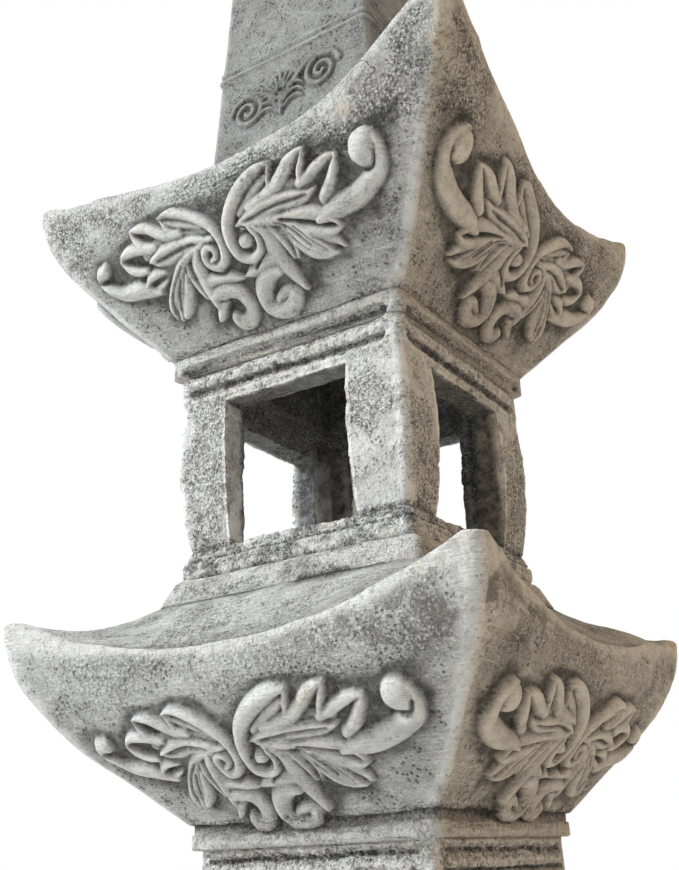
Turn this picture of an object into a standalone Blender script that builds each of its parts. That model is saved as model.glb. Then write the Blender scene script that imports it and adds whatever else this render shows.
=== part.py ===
"""Stacked stone garden lantern: foot, pedestal, two chambers, two flared roofs, block, cap and finial.

Units are metres and +Z is up. The origin is the centre of the foot's underside. The stones stand on each
other without mortar. Steel dowels, set in the lower stone of each joint, locate the upper one, which
lifts straight off. Each chamber holds one tealight behind its sill.
"""

import math

import bmesh
import bpy

# ---------------------------------------------------------------- driving dimensions
GAP = 0.0003                  # clearance between stones that rest on each other

ROOF_HALF = 0.232             # half the width of a roof at its corner tips
NECK_HALF = 0.1285            # half the width of the moulding under a roof
ROOF_NECK_DEPTH = 0.0135      # from the top of the neck moulding down to the joint under it
ROOF_HEIGHT = 0.218           # from the top of the neck moulding up to the seat on the roof
TIP_RISE = 0.172              # height of the corner tips over the neck moulding
EAVE_DIP = 0.045              # how far the eave hangs lower at mid-side than at a tip
EAVE_BOW = 0.010              # how far the eave is drawn in at mid-side
SEAT_HALF = 0.125             # half the width of the seat that carries the stone above
SEAT_FOOT_HALF = 0.136        # half the width of the seat where it leaves the roof
SEAT_FOOT_RISE = 0.193        # height of that line over the neck moulding

CHAMBER_HEIGHT = 0.2019       # height of a chamber's casting, joint to joint
CHAMBER_HALF = 0.1170         # half the width of the posts at the sill
CHAMBER_BULGE = 0.0090        # how far the posts swell out at mid-height
WALL_INNER_HALF = 0.0920      # half the width of the space inside
WINDOW_HALF = 0.067           # half the width of a window
WINDOW_SILL = 0.0270          # height of the window's sill in the casting
WINDOW_HEAD = 0.166           # height of the window's head in the casting

BASE_HEIGHT = 0.085
BASE_HALF = 0.200
PEDESTAL_HEIGHT = 0.3097
BLOCK_HEIGHT = 0.345
BLOCK_FOOT_HALF = 0.1035
BLOCK_TAPER = 0.069           # half width lost per metre of height
CAP_HEIGHT = 0.080
FINIAL_HEIGHT = 0.096

POCKET_HALF = 0.086           # the hollow under each roof, open to the chamber below
POCKET_TOP = 0.069            # its ceiling over the neck moulding

CORNER_DOWEL_R = 0.004
CORNER_DOWEL_REACH = 0.020    # how far a dowel reaches into each of its two stones
CENTRE_DOWEL_R = 0.008
CENTRE_DOWEL_REACH = 0.030
FINIAL_DOWEL_R = 0.004
FINIAL_DOWEL_REACH = 0.018
DOWEL_INSET = 0.1030          # distance of a corner dowel from the axis along X and along Y
SOCKET_PLAY = 0.001           # radial play of a dowel in the stone that lifts off
SOCKET_DEPTH_PLAY = 0.002

TEALIGHT_R = 0.019
TEALIGHT_HEIGHT = 0.016
TEALIGHT_WALL = 0.0006
WAX_TOP = 0.012
WICK_R = 0.0009
WICK_TOP = 0.0215

CORNER_STEPS = 3              # faces round a vertical corner
ROUND_STEPS = 20              # faces round a dowel hole, a cup or the finial
SIDE_FINE = (-1.0, -0.75, -0.5, -0.25, 0.0, 0.25, 0.5, 0.75, 1.0)
SIDE_GROOVED = (-1.0, -0.93, 0.93, 1.0)
SIDE_PLAIN = (-1.0, 1.0)

# ---------------------------------------------------------------- heights of the stack
PEDESTAL_Z = BASE_HEIGHT + GAP
LOWER_FIREBOX_Z = PEDESTAL_Z + PEDESTAL_HEIGHT + GAP
LOWER_NECK_Z = LOWER_FIREBOX_Z + CHAMBER_HEIGHT + GAP + ROOF_NECK_DEPTH
UPPER_FIREBOX_Z = LOWER_NECK_Z + ROOF_HEIGHT + GAP
UPPER_NECK_Z = UPPER_FIREBOX_Z + CHAMBER_HEIGHT + GAP + ROOF_NECK_DEPTH
BLOCK_Z = UPPER_NECK_Z + ROOF_HEIGHT + GAP
CAP_Z = BLOCK_Z + BLOCK_HEIGHT + GAP
FINIAL_Z = CAP_Z + CAP_HEIGHT + GAP


# ---------------------------------------------------------------- scene and materials
def clear_scene():
    for obj in list(bpy.data.objects):
        bpy.data.objects.remove(obj, do_unlink=True)


def make_material(name, colour, roughness, metallic=0.0):
    material = bpy.data.materials.new(name)
    material.use_nodes = True
    shader = material.node_tree.nodes["Principled BSDF"]
    shader.inputs["Base Color"].default_value = (*colour, 1.0)
    shader.inputs["Roughness"].default_value = roughness
    shader.inputs["Metallic"].default_value = metallic
    return material


def add_object(name, bm, material, origin=(0.0, 0.0, 0.0), smooth_angle=None):
    bmesh.ops.recalc_face_normals(bm, faces=bm.faces)
    mesh = bpy.data.meshes.new(name)
    bm.to_mesh(mesh)
    bm.free()
    if smooth_angle is not None:
        mesh.shade_smooth()
        mesh.set_sharp_from_angle(angle=math.radians(smooth_angle))
    mesh.materials.append(material)
    obj = bpy.data.objects.new(name, mesh)
    obj.location = origin
    bpy.context.scene.collection.objects.link(obj)
    return obj


# ---------------------------------------------------------------- lofts of rounded squares
def square_ring(half, z, radius, side=SIDE_PLAIN, bow=0.0, dip=0.0, inset=0.0):
    """One loop round a square with rounded corners.

    bow draws the middle of each side in, dip lowers it, and inset recesses a side except at its ends.
    """
    loop = []
    straight = half - radius
    for turn in range(4):
        cos_t = math.cos(turn * math.pi / 2)
        sin_t = math.sin(turn * math.pi / 2)
        local = []
        for s in side:
            hollow = 1.0 - s * s
            recess = inset if abs(s) < 1.0 else 0.0
            local.append((half - bow * hollow - recess, s * straight, z - dip * hollow))
        for step in range(1, CORNER_STEPS):
            angle = step / CORNER_STEPS * math.pi / 2
            local.append((straight + radius * math.cos(angle), straight + radius * math.sin(angle), z))
        for x, y, height in local:
            loop.append((x * cos_t - y * sin_t, x * sin_t + y * cos_t, height))
    return loop


def loft(loops):
    """A closed skin over loops of equal length, with a flat cap on the first and on the last."""
    bm = bmesh.new()
    rows = [[bm.verts.new(point) for point in loop] for loop in loops]
    count = len(rows[0])
    for lower, upper in zip(rows, rows[1:]):
        for i in range(count):
            j = (i + 1) % count
            bm.faces.new((lower[i], lower[j], upper[j], upper[i]))
    bm.faces.new(list(reversed(rows[0])))
    bm.faces.new(rows[-1])
    return bm


def turned(profile, steps=ROUND_STEPS):
    """A closed solid of revolution about Z. The profile's ends lie on the axis or are closed by a cap."""
    bm = bmesh.new()
    rows = []
    for radius, z in profile:
        if radius == 0.0:
            rows.append([bm.verts.new((0.0, 0.0, z))])
            continue
        row = []
        for i in range(steps):
            angle = 2 * math.pi * i / steps
            row.append(bm.verts.new((radius * math.cos(angle), radius * math.sin(angle), z)))
        rows.append(row)
    for lower, upper in zip(rows, rows[1:]):
        for i in range(steps):
            j = (i + 1) % steps
            corners = [lower[i % len(lower)], lower[j % len(lower)], upper[j % len(upper)], upper[i % len(upper)]]
            unique = list(dict.fromkeys(corners))
            bm.faces.new(unique)
    if len(rows[0]) > 1:
        bm.faces.new(list(reversed(rows[0])))
    if len(rows[-1]) > 1:
        bm.faces.new(rows[-1])
    return bm


def bezier(points, t):
    """A point on a cubic curve."""
    u = 1.0 - t
    weights = (u ** 3, 3 * u * u * t, 3 * u * t * t, t ** 3)
    return tuple(sum(w * p[axis] for w, p in zip(weights, points)) for axis in range(2))


# ---------------------------------------------------------------- cutters
def add_cutter(target, name, bm, origin):
    """Cut a closed shape out of a stone. The cutter stays in the file as a wire guide."""
    cutter = add_object(name, bm, target.data.materials[0], origin)
    cutter.hide_render = True
    cutter.display_type = "WIRE"
    cut = target.modifiers.new(name, "BOOLEAN")
    cut.operation = "DIFFERENCE"
    cut.solver = "EXACT"
    cut.object = cutter


def box_shape(half_x, half_y, low, high):
    bm = bmesh.new()
    bmesh.ops.create_cube(bm, size=1.0)
    for vert in bm.verts:
        vert.co.x *= 2 * half_x
        vert.co.y *= 2 * half_y
        vert.co.z = low if vert.co.z < 0 else high
    return bm


def hole_shape(radius, low, high):
    return turned([(radius, low), (radius, high)], steps=12)


# ---------------------------------------------------------------- dowels and their holes
def corner_places():
    return {"left": (-DOWEL_INSET, DOWEL_INSET), "right": (DOWEL_INSET, -DOWEL_INSET)}


def fit_dowel(name, lower, upper, seat_z, place, radius, reach, steel):
    """Set a dowel in the lower stone and give the upper stone a loose socket for it."""
    x, y = place
    hole = hole_shape(radius + GAP, -reach - GAP, SOCKET_DEPTH_PLAY)
    add_cutter(lower, name + "_hole", hole, (x, y, seat_z))
    socket = hole_shape(radius + SOCKET_PLAY, -SOCKET_DEPTH_PLAY, reach + SOCKET_DEPTH_PLAY)
    add_cutter(upper, name + "_socket", socket, (x, y, seat_z))
    chamfer = radius / 4
    dowel = turned([
        (radius - chamfer, -reach),
        (radius, -reach + chamfer),
        (radius, reach - chamfer),
        (radius - chamfer, reach),
    ], steps=12)
    add_object(name, dowel, steel, (x, y, seat_z), smooth_angle=35)


# ---------------------------------------------------------------- stones
def make_base(stone):
    step = 0.040              # width of the tread between the two steps
    step_z = 0.047            # height of the tread
    edge = 0.006              # rounding of each arris
    inner = BASE_HALF - step
    loops = [
        square_ring(BASE_HALF, 0.0, 0.010),
        square_ring(BASE_HALF, step_z - edge, 0.010),
        square_ring(BASE_HALF - edge, step_z, 0.010),
        square_ring(inner, step_z + edge / 2, 0.010),
        square_ring(inner, BASE_HEIGHT - 2 * edge, 0.010),
        square_ring(inner - edge, BASE_HEIGHT - edge / 2, 0.010),
        square_ring(inner - 2 * edge, BASE_HEIGHT, 0.010),
    ]
    return add_object("base_slab", loft(loops), stone)


def make_pedestal(stone):
    foot = 0.130              # half width of the foot moulding
    shaft_low = 0.1145
    shaft_high = 0.1055
    bead = 0.004              # how far the necking bead stands proud
    corner = 0.008
    flare_low = PEDESTAL_HEIGHT - 0.078
    flare_high = PEDESTAL_HEIGHT - 0.032
    bead_low = flare_low - 0.016
    loops = [
        square_ring(foot, 0.0, corner),
        square_ring(foot, 0.018, corner),
        square_ring(foot - 0.008, 0.026, corner),
        square_ring(shaft_low, 0.034, corner),
        square_ring(shaft_high, bead_low, corner),
        square_ring(shaft_high + bead, bead_low + 0.004, corner),
        square_ring(shaft_high + bead, bead_low + 0.012, corner),
        square_ring(shaft_high, flare_low, corner),
    ]
    curve = (
        (shaft_high, flare_low),
        (shaft_high + 0.006, flare_low + 0.023),
        (shaft_high + 0.018, flare_low + 0.028),
        (SEAT_FOOT_HALF + 0.006, flare_high),
    )
    for step in range(1, 5):
        half, z = bezier(curve, step / 4)
        loops.append(square_ring(half, z, corner))
    loops.append(square_ring(SEAT_FOOT_HALF + 0.004, flare_high + 0.005, corner))
    loops.append(square_ring(SEAT_FOOT_HALF, PEDESTAL_HEIGHT - 0.020, corner))
    loops.append(square_ring(SEAT_FOOT_HALF - 0.002, PEDESTAL_HEIGHT - 0.010, corner))
    loops.append(square_ring(SEAT_HALF, PEDESTAL_HEIGHT, corner))
    return add_object("pedestal", loft(loops), stone, (0.0, 0.0, PEDESTAL_Z))


def post_half(z):
    """Half width of a chamber over its outer face: it swells between the sill and the lintel."""
    t = (z - WINDOW_SILL) / (WINDOW_HEAD - WINDOW_SILL)
    swell = math.sin(math.pi * min(1.0, t) * 0.80) ** 0.75
    return CHAMBER_HALF + CHAMBER_BULGE * swell


def make_firebox(name, stone, origin_z):
    corner = 0.009
    foot = 0.1230             # half width of the sill's moulding
    groove = 0.007            # depth of the two grooves over the lintel
    low_groove = 0.1800       # where the lower groove starts
    high_groove = 0.1965      # where the upper groove starts; it runs on into the roof's neck
    groove_height = 0.0055
    slant = 0.0015            # height of a groove's slanting sides
    side = SIDE_GROOVED
    head_half = post_half(WINDOW_HEAD)
    loops = [
        square_ring(foot - 0.0025, 0.0, corner, side),
        square_ring(foot, 0.005, corner, side),
        square_ring(foot, 0.015, corner, side),
        square_ring(foot - 0.0045, 0.0225, corner, side),
    ]
    post_rows = 8
    for step in range(post_rows + 1):
        z = WINDOW_SILL + (WINDOW_HEAD - WINDOW_SILL) * step / post_rows
        loops.append(square_ring(post_half(z), z, corner, side))
    loops += [
        square_ring(head_half, low_groove, corner, side),
        square_ring(head_half, low_groove + slant, corner, side, inset=groove),
        square_ring(head_half, low_groove + groove_height - slant, corner, side, inset=groove),
        square_ring(head_half, low_groove + groove_height, corner, side),
        square_ring(head_half, high_groove, corner, side),
        square_ring(head_half, high_groove + slant, corner, side, inset=groove),
        square_ring(head_half, CHAMBER_HEIGHT, corner, side, inset=groove),
    ]
    stone_box = add_object(name, loft(loops), stone, (0.0, 0.0, origin_z))
    over = 0.02
    inside = box_shape(WALL_INNER_HALF, WALL_INNER_HALF, -over, CHAMBER_HEIGHT + over)
    add_cutter(stone_box, name + "_inside", inside, (0.0, 0.0, origin_z))
    along_x = box_shape(CHAMBER_HALF + 2 * over, WINDOW_HALF, WINDOW_SILL, WINDOW_HEAD)
    add_cutter(stone_box, name + "_windows_x", along_x, (0.0, 0.0, origin_z))
    along_y = box_shape(WINDOW_HALF, CHAMBER_HALF + 2 * over, WINDOW_SILL, WINDOW_HEAD)
    add_cutter(stone_box, name + "_windows_y", along_y, (0.0, 0.0, origin_z))
    return stone_box


def roof_underside():
    """The hull-shaped curve from the neck moulding out to a tip, as (half width, height) points."""
    return (
        (NECK_HALF, 0.003),
        (NECK_HALF + 0.050, 0.060),
        (ROOF_HALF, 0.115),
        (ROOF_HALF + 0.002, TIP_RISE),
    )


def make_roof(name, stone, neck_z):
    side = SIDE_FINE
    neck_corner = 0.008
    tip_corner = 0.013
    groove = 0.007
    loops = [
        square_ring(NECK_HALF - 0.002, -ROOF_NECK_DEPTH, neck_corner, side, inset=groove),
        square_ring(NECK_HALF - 0.002, -0.0090, neck_corner, side, inset=groove),
        square_ring(NECK_HALF, -0.0078, neck_corner, side),
        square_ring(NECK_HALF, 0.0, neck_corner, side),
    ]
    hull_rows = 8
    for step in range(hull_rows + 1):
        t = step / hull_rows
        half, z = bezier(roof_underside(), t)
        corner = neck_corner + (tip_corner - neck_corner) * t
        dip = EAVE_DIP * t ** 1.5
        loops.append(square_ring(half, z, corner, side, bow=EAVE_BOW * t * t, dip=dip))
    lip = ROOF_HALF + 0.002
    loops.append(square_ring(lip - 0.002, TIP_RISE + 0.004, tip_corner, side, EAVE_BOW, EAVE_DIP))
    loops.append(square_ring(lip - 0.009, TIP_RISE + 0.005, tip_corner, side, EAVE_BOW, EAVE_DIP))
    top_rows = 5
    outer = lip - 0.009
    hip_sag = 0.012
    for step in range(1, top_rows + 1):
        u = step / top_rows
        half = outer + (SEAT_FOOT_HALF - outer) * u
        sag = hip_sag * 4 * u * (1 - u)
        rise = SEAT_FOOT_RISE - TIP_RISE - 0.005
        z = TIP_RISE + 0.005 + rise * u - sag
        corner = tip_corner + (neck_corner - tip_corner) * u
        dip = (EAVE_DIP - hip_sag * 4 * u) * (1 - u)
        loops.append(square_ring(half, z, corner, side, bow=EAVE_BOW * (1 - u), dip=dip))
    loops.append(square_ring(SEAT_FOOT_HALF - 0.001, ROOF_HEIGHT - 0.010, neck_corner, side))
    loops.append(square_ring(SEAT_HALF, ROOF_HEIGHT, neck_corner, side))
    roof = add_object(name, loft(loops), stone, (0.0, 0.0, neck_z), smooth_angle=35)
    pocket = box_shape(POCKET_HALF, POCKET_HALF, -2 * ROOF_NECK_DEPTH, POCKET_TOP)
    add_cutter(roof, name + "_pocket", pocket, (0.0, 0.0, neck_z))
    return roof


def block_half(z):
    return BLOCK_FOOT_HALF - BLOCK_TAPER * z


def make_block(stone):
    corner = 0.008
    fillet_z = 0.113          # the thin raised line over the palmette band
    fillet = 0.0025
    loops = [
        square_ring(block_half(0.0), 0.0, corner),
        square_ring(block_half(fillet_z - 0.005), fillet_z - 0.005, corner),
        square_ring(block_half(fillet_z) + fillet, fillet_z - 0.003, corner),
        square_ring(block_half(fillet_z) + fillet, fillet_z + 0.003, corner),
        square_ring(block_half(fillet_z + 0.005), fillet_z + 0.005, corner),
        square_ring(block_half(BLOCK_HEIGHT), BLOCK_HEIGHT, corner),
    ]
    return add_object("spire_block", loft(loops), stone, (0.0, 0.0, BLOCK_Z))


def make_cap(stone):
    seat = block_half(BLOCK_HEIGHT)
    eave = seat + 0.030
    corner = 0.008
    top_half = 0.030
    loops = [
        square_ring(seat - 0.002, 0.0, corner, SIDE_FINE),
        square_ring(seat, 0.006, corner, SIDE_FINE),
        square_ring(seat + 0.010, 0.016, corner, SIDE_FINE, bow=0.001, dip=0.002),
        square_ring(seat + 0.024, 0.030, corner, SIDE_FINE, bow=0.004, dip=0.006),
        square_ring(eave, 0.044, corner, SIDE_FINE, bow=0.006, dip=0.010),
        square_ring(eave - 0.004, 0.049, corner, SIDE_FINE, bow=0.006, dip=0.010),
        square_ring((eave + top_half) / 2, 0.056, corner, SIDE_FINE, bow=0.003, dip=0.002),
        square_ring(top_half + 0.008, CAP_HEIGHT - 0.010, corner, SIDE_FINE),
        square_ring(top_half, CAP_HEIGHT - 0.006, corner, SIDE_FINE),
        square_ring(top_half, CAP_HEIGHT, corner, SIDE_FINE),
    ]
    return add_object("spire_cap", loft(loops), stone, (0.0, 0.0, CAP_Z), smooth_angle=35)


def make_finial(stone):
    """A ball drawn up to a point, on a turned foot."""
    ball_r = 0.030
    ball_z = 0.044
    profile = [(0.024, 0.0), (0.025, 0.005), (0.017, 0.011), (0.015, 0.015)]
    arc_rows = 8
    start = math.radians(-58)
    end = math.radians(52)
    for row in range(arc_rows + 1):
        angle = start + (end - start) * row / arc_rows
        profile.append((ball_r * math.cos(angle), ball_z + ball_r * math.sin(angle)))
    profile.append((0.0105, ball_z + 0.033))
    profile.append((0.0045, FINIAL_HEIGHT - 0.010))
    profile.append((0.0, FINIAL_HEIGHT))
    return add_object("finial", turned(profile), stone, (0.0, 0.0, FINIAL_Z), smooth_angle=40)


# ---------------------------------------------------------------- tealights
def make_tealight(prefix, floor_z, metal, wax_look, wick_look):
    base = floor_z + GAP
    inner = TEALIGHT_R - TEALIGHT_WALL
    cup = turned([
        (0.0, 0.0),
        (TEALIGHT_R - 0.001, 0.0),
        (TEALIGHT_R, 0.001),
        (TEALIGHT_R, TEALIGHT_HEIGHT),
        (inner, TEALIGHT_HEIGHT),
        (inner, TEALIGHT_WALL + 0.001),
        (inner - 0.001, TEALIGHT_WALL),
        (0.0, TEALIGHT_WALL),
    ])
    add_object(prefix + "_tealight_cup", cup, metal, (0.0, 0.0, base), smooth_angle=40)
    wax_r = inner - GAP
    wax_low = TEALIGHT_WALL + GAP
    wax_hole = WICK_R + GAP
    wick_low = TEALIGHT_WALL + 2 * GAP + 0.001
    wax = turned([
        (0.0, wax_low),
        (wax_r - 0.001, wax_low),
        (wax_r, wax_low + 0.001),
        (wax_r, WAX_TOP - 0.0005),
        (wax_r - 0.001, WAX_TOP),
        (wax_hole, WAX_TOP),
        (wax_hole, wick_low - GAP),
        (0.0, wick_low - GAP),
    ])
    add_object(prefix + "_tealight_wax", wax, wax_look, (0.0, 0.0, base), smooth_angle=40)
    wick = turned([(WICK_R, wick_low), (WICK_R, WICK_TOP - 0.001), (WICK_R / 2, WICK_TOP)], steps=8)
    add_object(prefix + "_tealight_wick", wick, wick_look, (0.0, 0.0, base), smooth_angle=60)


# ---------------------------------------------------------------- assembly
def build():
    clear_scene()
    stone = make_material("cast_stone", (0.42, 0.41, 0.38), 0.95)
    steel = make_material("dowel_steel", (0.42, 0.40, 0.38), 0.45, 1.0)
    cup_metal = make_material("cup_aluminium", (0.80, 0.80, 0.81), 0.35, 1.0)
    wax_look = make_material("wax", (0.90, 0.87, 0.78), 0.45)
    wick_look = make_material("wick", (0.80, 0.78, 0.72), 0.90)

    base = make_base(stone)
    pedestal = make_pedestal(stone)
    lower_firebox = make_firebox("lower_firebox", stone, LOWER_FIREBOX_Z)
    lower_roof = make_roof("lower_roof", stone, LOWER_NECK_Z)
    upper_firebox = make_firebox("upper_firebox", stone, UPPER_FIREBOX_Z)
    upper_roof = make_roof("upper_roof", stone, UPPER_NECK_Z)
    block = make_block(stone)
    cap = make_cap(stone)
    finial = make_finial(stone)

    corner_joints = (
        ("pedestal", pedestal, lower_firebox, LOWER_FIREBOX_Z),
        ("lower_firebox", lower_firebox, lower_roof, LOWER_NECK_Z - ROOF_NECK_DEPTH),
        ("lower_roof", lower_roof, upper_firebox, UPPER_FIREBOX_Z),
        ("upper_firebox", upper_firebox, upper_roof, UPPER_NECK_Z - ROOF_NECK_DEPTH),
    )
    for prefix, lower, upper, seat_z in corner_joints:
        for where, place in corner_places().items():
            name = prefix + "_dowel_" + where
            fit_dowel(name, lower, upper, seat_z, place, CORNER_DOWEL_R, CORNER_DOWEL_REACH, steel)

    axis = (0.0, 0.0)
    fit_dowel("base_dowel", base, pedestal, PEDESTAL_Z, axis, CENTRE_DOWEL_R, CENTRE_DOWEL_REACH, steel)
    fit_dowel("upper_roof_dowel", upper_roof, block, BLOCK_Z, axis, CENTRE_DOWEL_R, CENTRE_DOWEL_REACH, steel)
    fit_dowel("spire_dowel", block, cap, CAP_Z, axis, CENTRE_DOWEL_R, CENTRE_DOWEL_REACH, steel)
    fit_dowel("cap_dowel", cap, finial, FINIAL_Z, axis, FINIAL_DOWEL_R, FINIAL_DOWEL_REACH, steel)

    make_tealight("lower", LOWER_FIREBOX_Z - GAP, cup_metal, wax_look, wick_look)
    make_tealight("upper", UPPER_FIREBOX_Z - GAP, cup_metal, wax_look, wick_look)


build()
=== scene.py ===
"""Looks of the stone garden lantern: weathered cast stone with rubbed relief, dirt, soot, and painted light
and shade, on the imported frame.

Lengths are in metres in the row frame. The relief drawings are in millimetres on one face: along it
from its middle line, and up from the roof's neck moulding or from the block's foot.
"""

import math

import bmesh
import bpy
import numpy as np
from mathutils import Matrix, Vector


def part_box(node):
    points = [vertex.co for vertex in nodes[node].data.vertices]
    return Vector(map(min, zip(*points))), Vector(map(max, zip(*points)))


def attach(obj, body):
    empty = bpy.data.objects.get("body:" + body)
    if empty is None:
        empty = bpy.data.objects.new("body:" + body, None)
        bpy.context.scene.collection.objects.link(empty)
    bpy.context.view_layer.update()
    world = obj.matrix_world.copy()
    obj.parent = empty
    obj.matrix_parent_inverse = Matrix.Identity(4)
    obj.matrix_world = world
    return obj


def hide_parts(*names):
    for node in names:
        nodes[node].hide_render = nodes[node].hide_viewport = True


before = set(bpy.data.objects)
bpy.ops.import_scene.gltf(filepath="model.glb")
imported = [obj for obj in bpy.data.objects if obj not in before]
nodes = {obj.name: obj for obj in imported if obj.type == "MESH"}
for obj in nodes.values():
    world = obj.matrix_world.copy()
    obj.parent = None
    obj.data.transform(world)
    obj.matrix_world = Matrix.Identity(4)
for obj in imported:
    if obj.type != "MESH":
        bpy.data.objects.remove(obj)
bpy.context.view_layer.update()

MM = 0.001
WELD = 0.000002              # points closer than this are one point
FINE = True
MOST_TRIANGLES = 195000      # in one stone
FIREBOX_TRIANGLES = 190000
BLOCK_TRIANGLES = 150000
HOLE_SIDES = 24

# ---------------------------------------------------------------- the stones' own sizes, as in the CAD
ROOF_HALF = 0.232
NECK_HALF = 0.1285
NECK_DEPTH = 0.0135
ROOF_HEIGHT = 0.218
TIP_RISE = 0.172
EAVE_DIP = 0.045
EAVE_BOW = 0.010
SEAT_HALF = 0.125
SEAT_FOOT_HALF = 0.136
SEAT_FOOT_RISE = 0.193
GROOVE = 0.0055
SEAM = 0.0012        # how far a roof's or a chamber's rough underside settles into the stone below
POCKET_HALF = 0.086
POCKET_TOP = 0.069
CHAMBER_HALF = 0.1170
CHAMBER_BULGE = 0.0090
WALL_INNER_HALF = 0.0965
WINDOW_HALF = 0.067
WINDOW_SILL = 0.0270
WINDOW_HEAD = 0.166
BLOCK_FOOT_HALF = 0.1035
BLOCK_TAPER = 0.069
ROOF_COURSE = 0.37           # the length of a face that its points are spread over
BLOCK_COURSE = 0.19
CHAMBER_COURSE = 0.245
DOWEL_INSET = 0.1030
CORNERS = ((-DOWEL_INSET, DOWEL_INSET), (DOWEL_INSET, -DOWEL_INSET))      # the two that carry a dowel
CORNER_SOCKET = (0.005, 0.022)        # radius and depth
CORNER_HOLE = (0.0043, 0.0203)
CENTRE_SOCKET = (0.009, 0.032)
CENTRE_HOLE = (0.0083, 0.0303)


# ---------------------------------------------------------------- noise
def lattice(ix, iy, iz, seed):
    """A repeatable number from 0 to 1 for each whole-number place."""
    h = ix.astype(np.uint32) * np.uint32(374761393)
    h += iy.astype(np.uint32) * np.uint32(668265263)
    h += iz.astype(np.uint32) * np.uint32(3266489917)
    h += np.uint32(seed * 2654435761 % 2 ** 32)
    h ^= h >> np.uint32(15)
    h *= np.uint32(2246822519)
    h ^= h >> np.uint32(13)
    h *= np.uint32(3266489917)
    h ^= h >> np.uint32(16)
    return h.astype(np.float64) / 2 ** 32


def value_noise(points, size, seed):
    """Smooth noise from -1 to 1 whose lumps are about size across."""
    q = points / size
    cell = np.floor(q).astype(np.int64)
    f = q - cell
    f = f * f * (3 - 2 * f)
    total = np.zeros(len(points))
    for corner in range(8):
        dx, dy, dz = corner & 1, corner >> 1 & 1, corner >> 2 & 1
        weight = (
            (f[:, 0] if dx else 1 - f[:, 0])
            * (f[:, 1] if dy else 1 - f[:, 1])
            * (f[:, 2] if dz else 1 - f[:, 2])
        )
        total += weight * lattice(cell[:, 0] + dx, cell[:, 1] + dy, cell[:, 2] + dz, seed)
    return total * 2 - 1


def fractal(points, size, octaves, seed, gain=0.5):
    """Noise on noise: each octave's lumps are half as large as the last one's and gain times as high."""
    total = np.zeros(len(points))
    share = 1.0
    for octave in range(octaves):
        total += share * value_noise(points, size / 2 ** octave, seed + octave)
        share *= gain
    return total


HACKED = (0.022, 4)          # size and octaves of the noise on an inner face
GRAIN = (0.0050, 3)
LUMPS = (0.035, 3)
PITS = (0.0042, 2)
CRUST = (0.012, 3)


def ease(low, high, value):
    """0 on low's side, 1 on high's, smooth between."""
    t = np.clip((value - low) / (high - low), 0, 1)
    return t * t * (3 - 2 * t)


# ---------------------------------------------------------------- relief drawn with strokes
def through(points, spacing):
    """Places along a smooth curve through the given (x, z, half width) points."""
    p = np.array(points, float)
    p = np.vstack([2 * p[0] - p[1], p, 2 * p[-1] - p[-2]])
    out = []
    for i in range(1, len(p) - 2):
        steps = max(2, int(np.hypot(*(p[i + 1] - p[i])[:2]) / spacing))
        t = np.linspace(0, 1, steps, endpoint=False)[:, None]
        out.append(0.5 * (
            2 * p[i]
            + (p[i + 1] - p[i - 1]) * t
            + (2 * p[i - 1] - 5 * p[i] + 4 * p[i + 1] - p[i + 2]) * t ** 2
            + (3 * p[i] - p[i - 1] - 3 * p[i + 1] + p[i + 2]) * t ** 3
        ))
    out.append(p[-2:-1])
    return np.vstack(out)


def spiral(x, z, inner, outer, start, turns, width):
    """Points of a spiral from its eye outwards. Negative turns run clockwise."""
    points = []
    count = max(8, int(abs(turns) * 12))
    for i in range(count + 1):
        t = i / count
        angle = math.radians(start) + 2 * math.pi * turns * t
        r = inner + (outer - inner) * t
        points.append((x + r * math.cos(angle), z + r * math.sin(angle), width * (0.7 + 0.3 * t)))
    return points


def blurred(h, rounds):
    for _ in range(rounds):
        for axis in (0, 1):
            h = 0.25 * np.roll(h, 1, axis) + 0.5 * h + 0.25 * np.roll(h, -1, axis)
    return h


FULLNESS = 1.13      # a stroke's foot spreads this much past its drawn width


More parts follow.
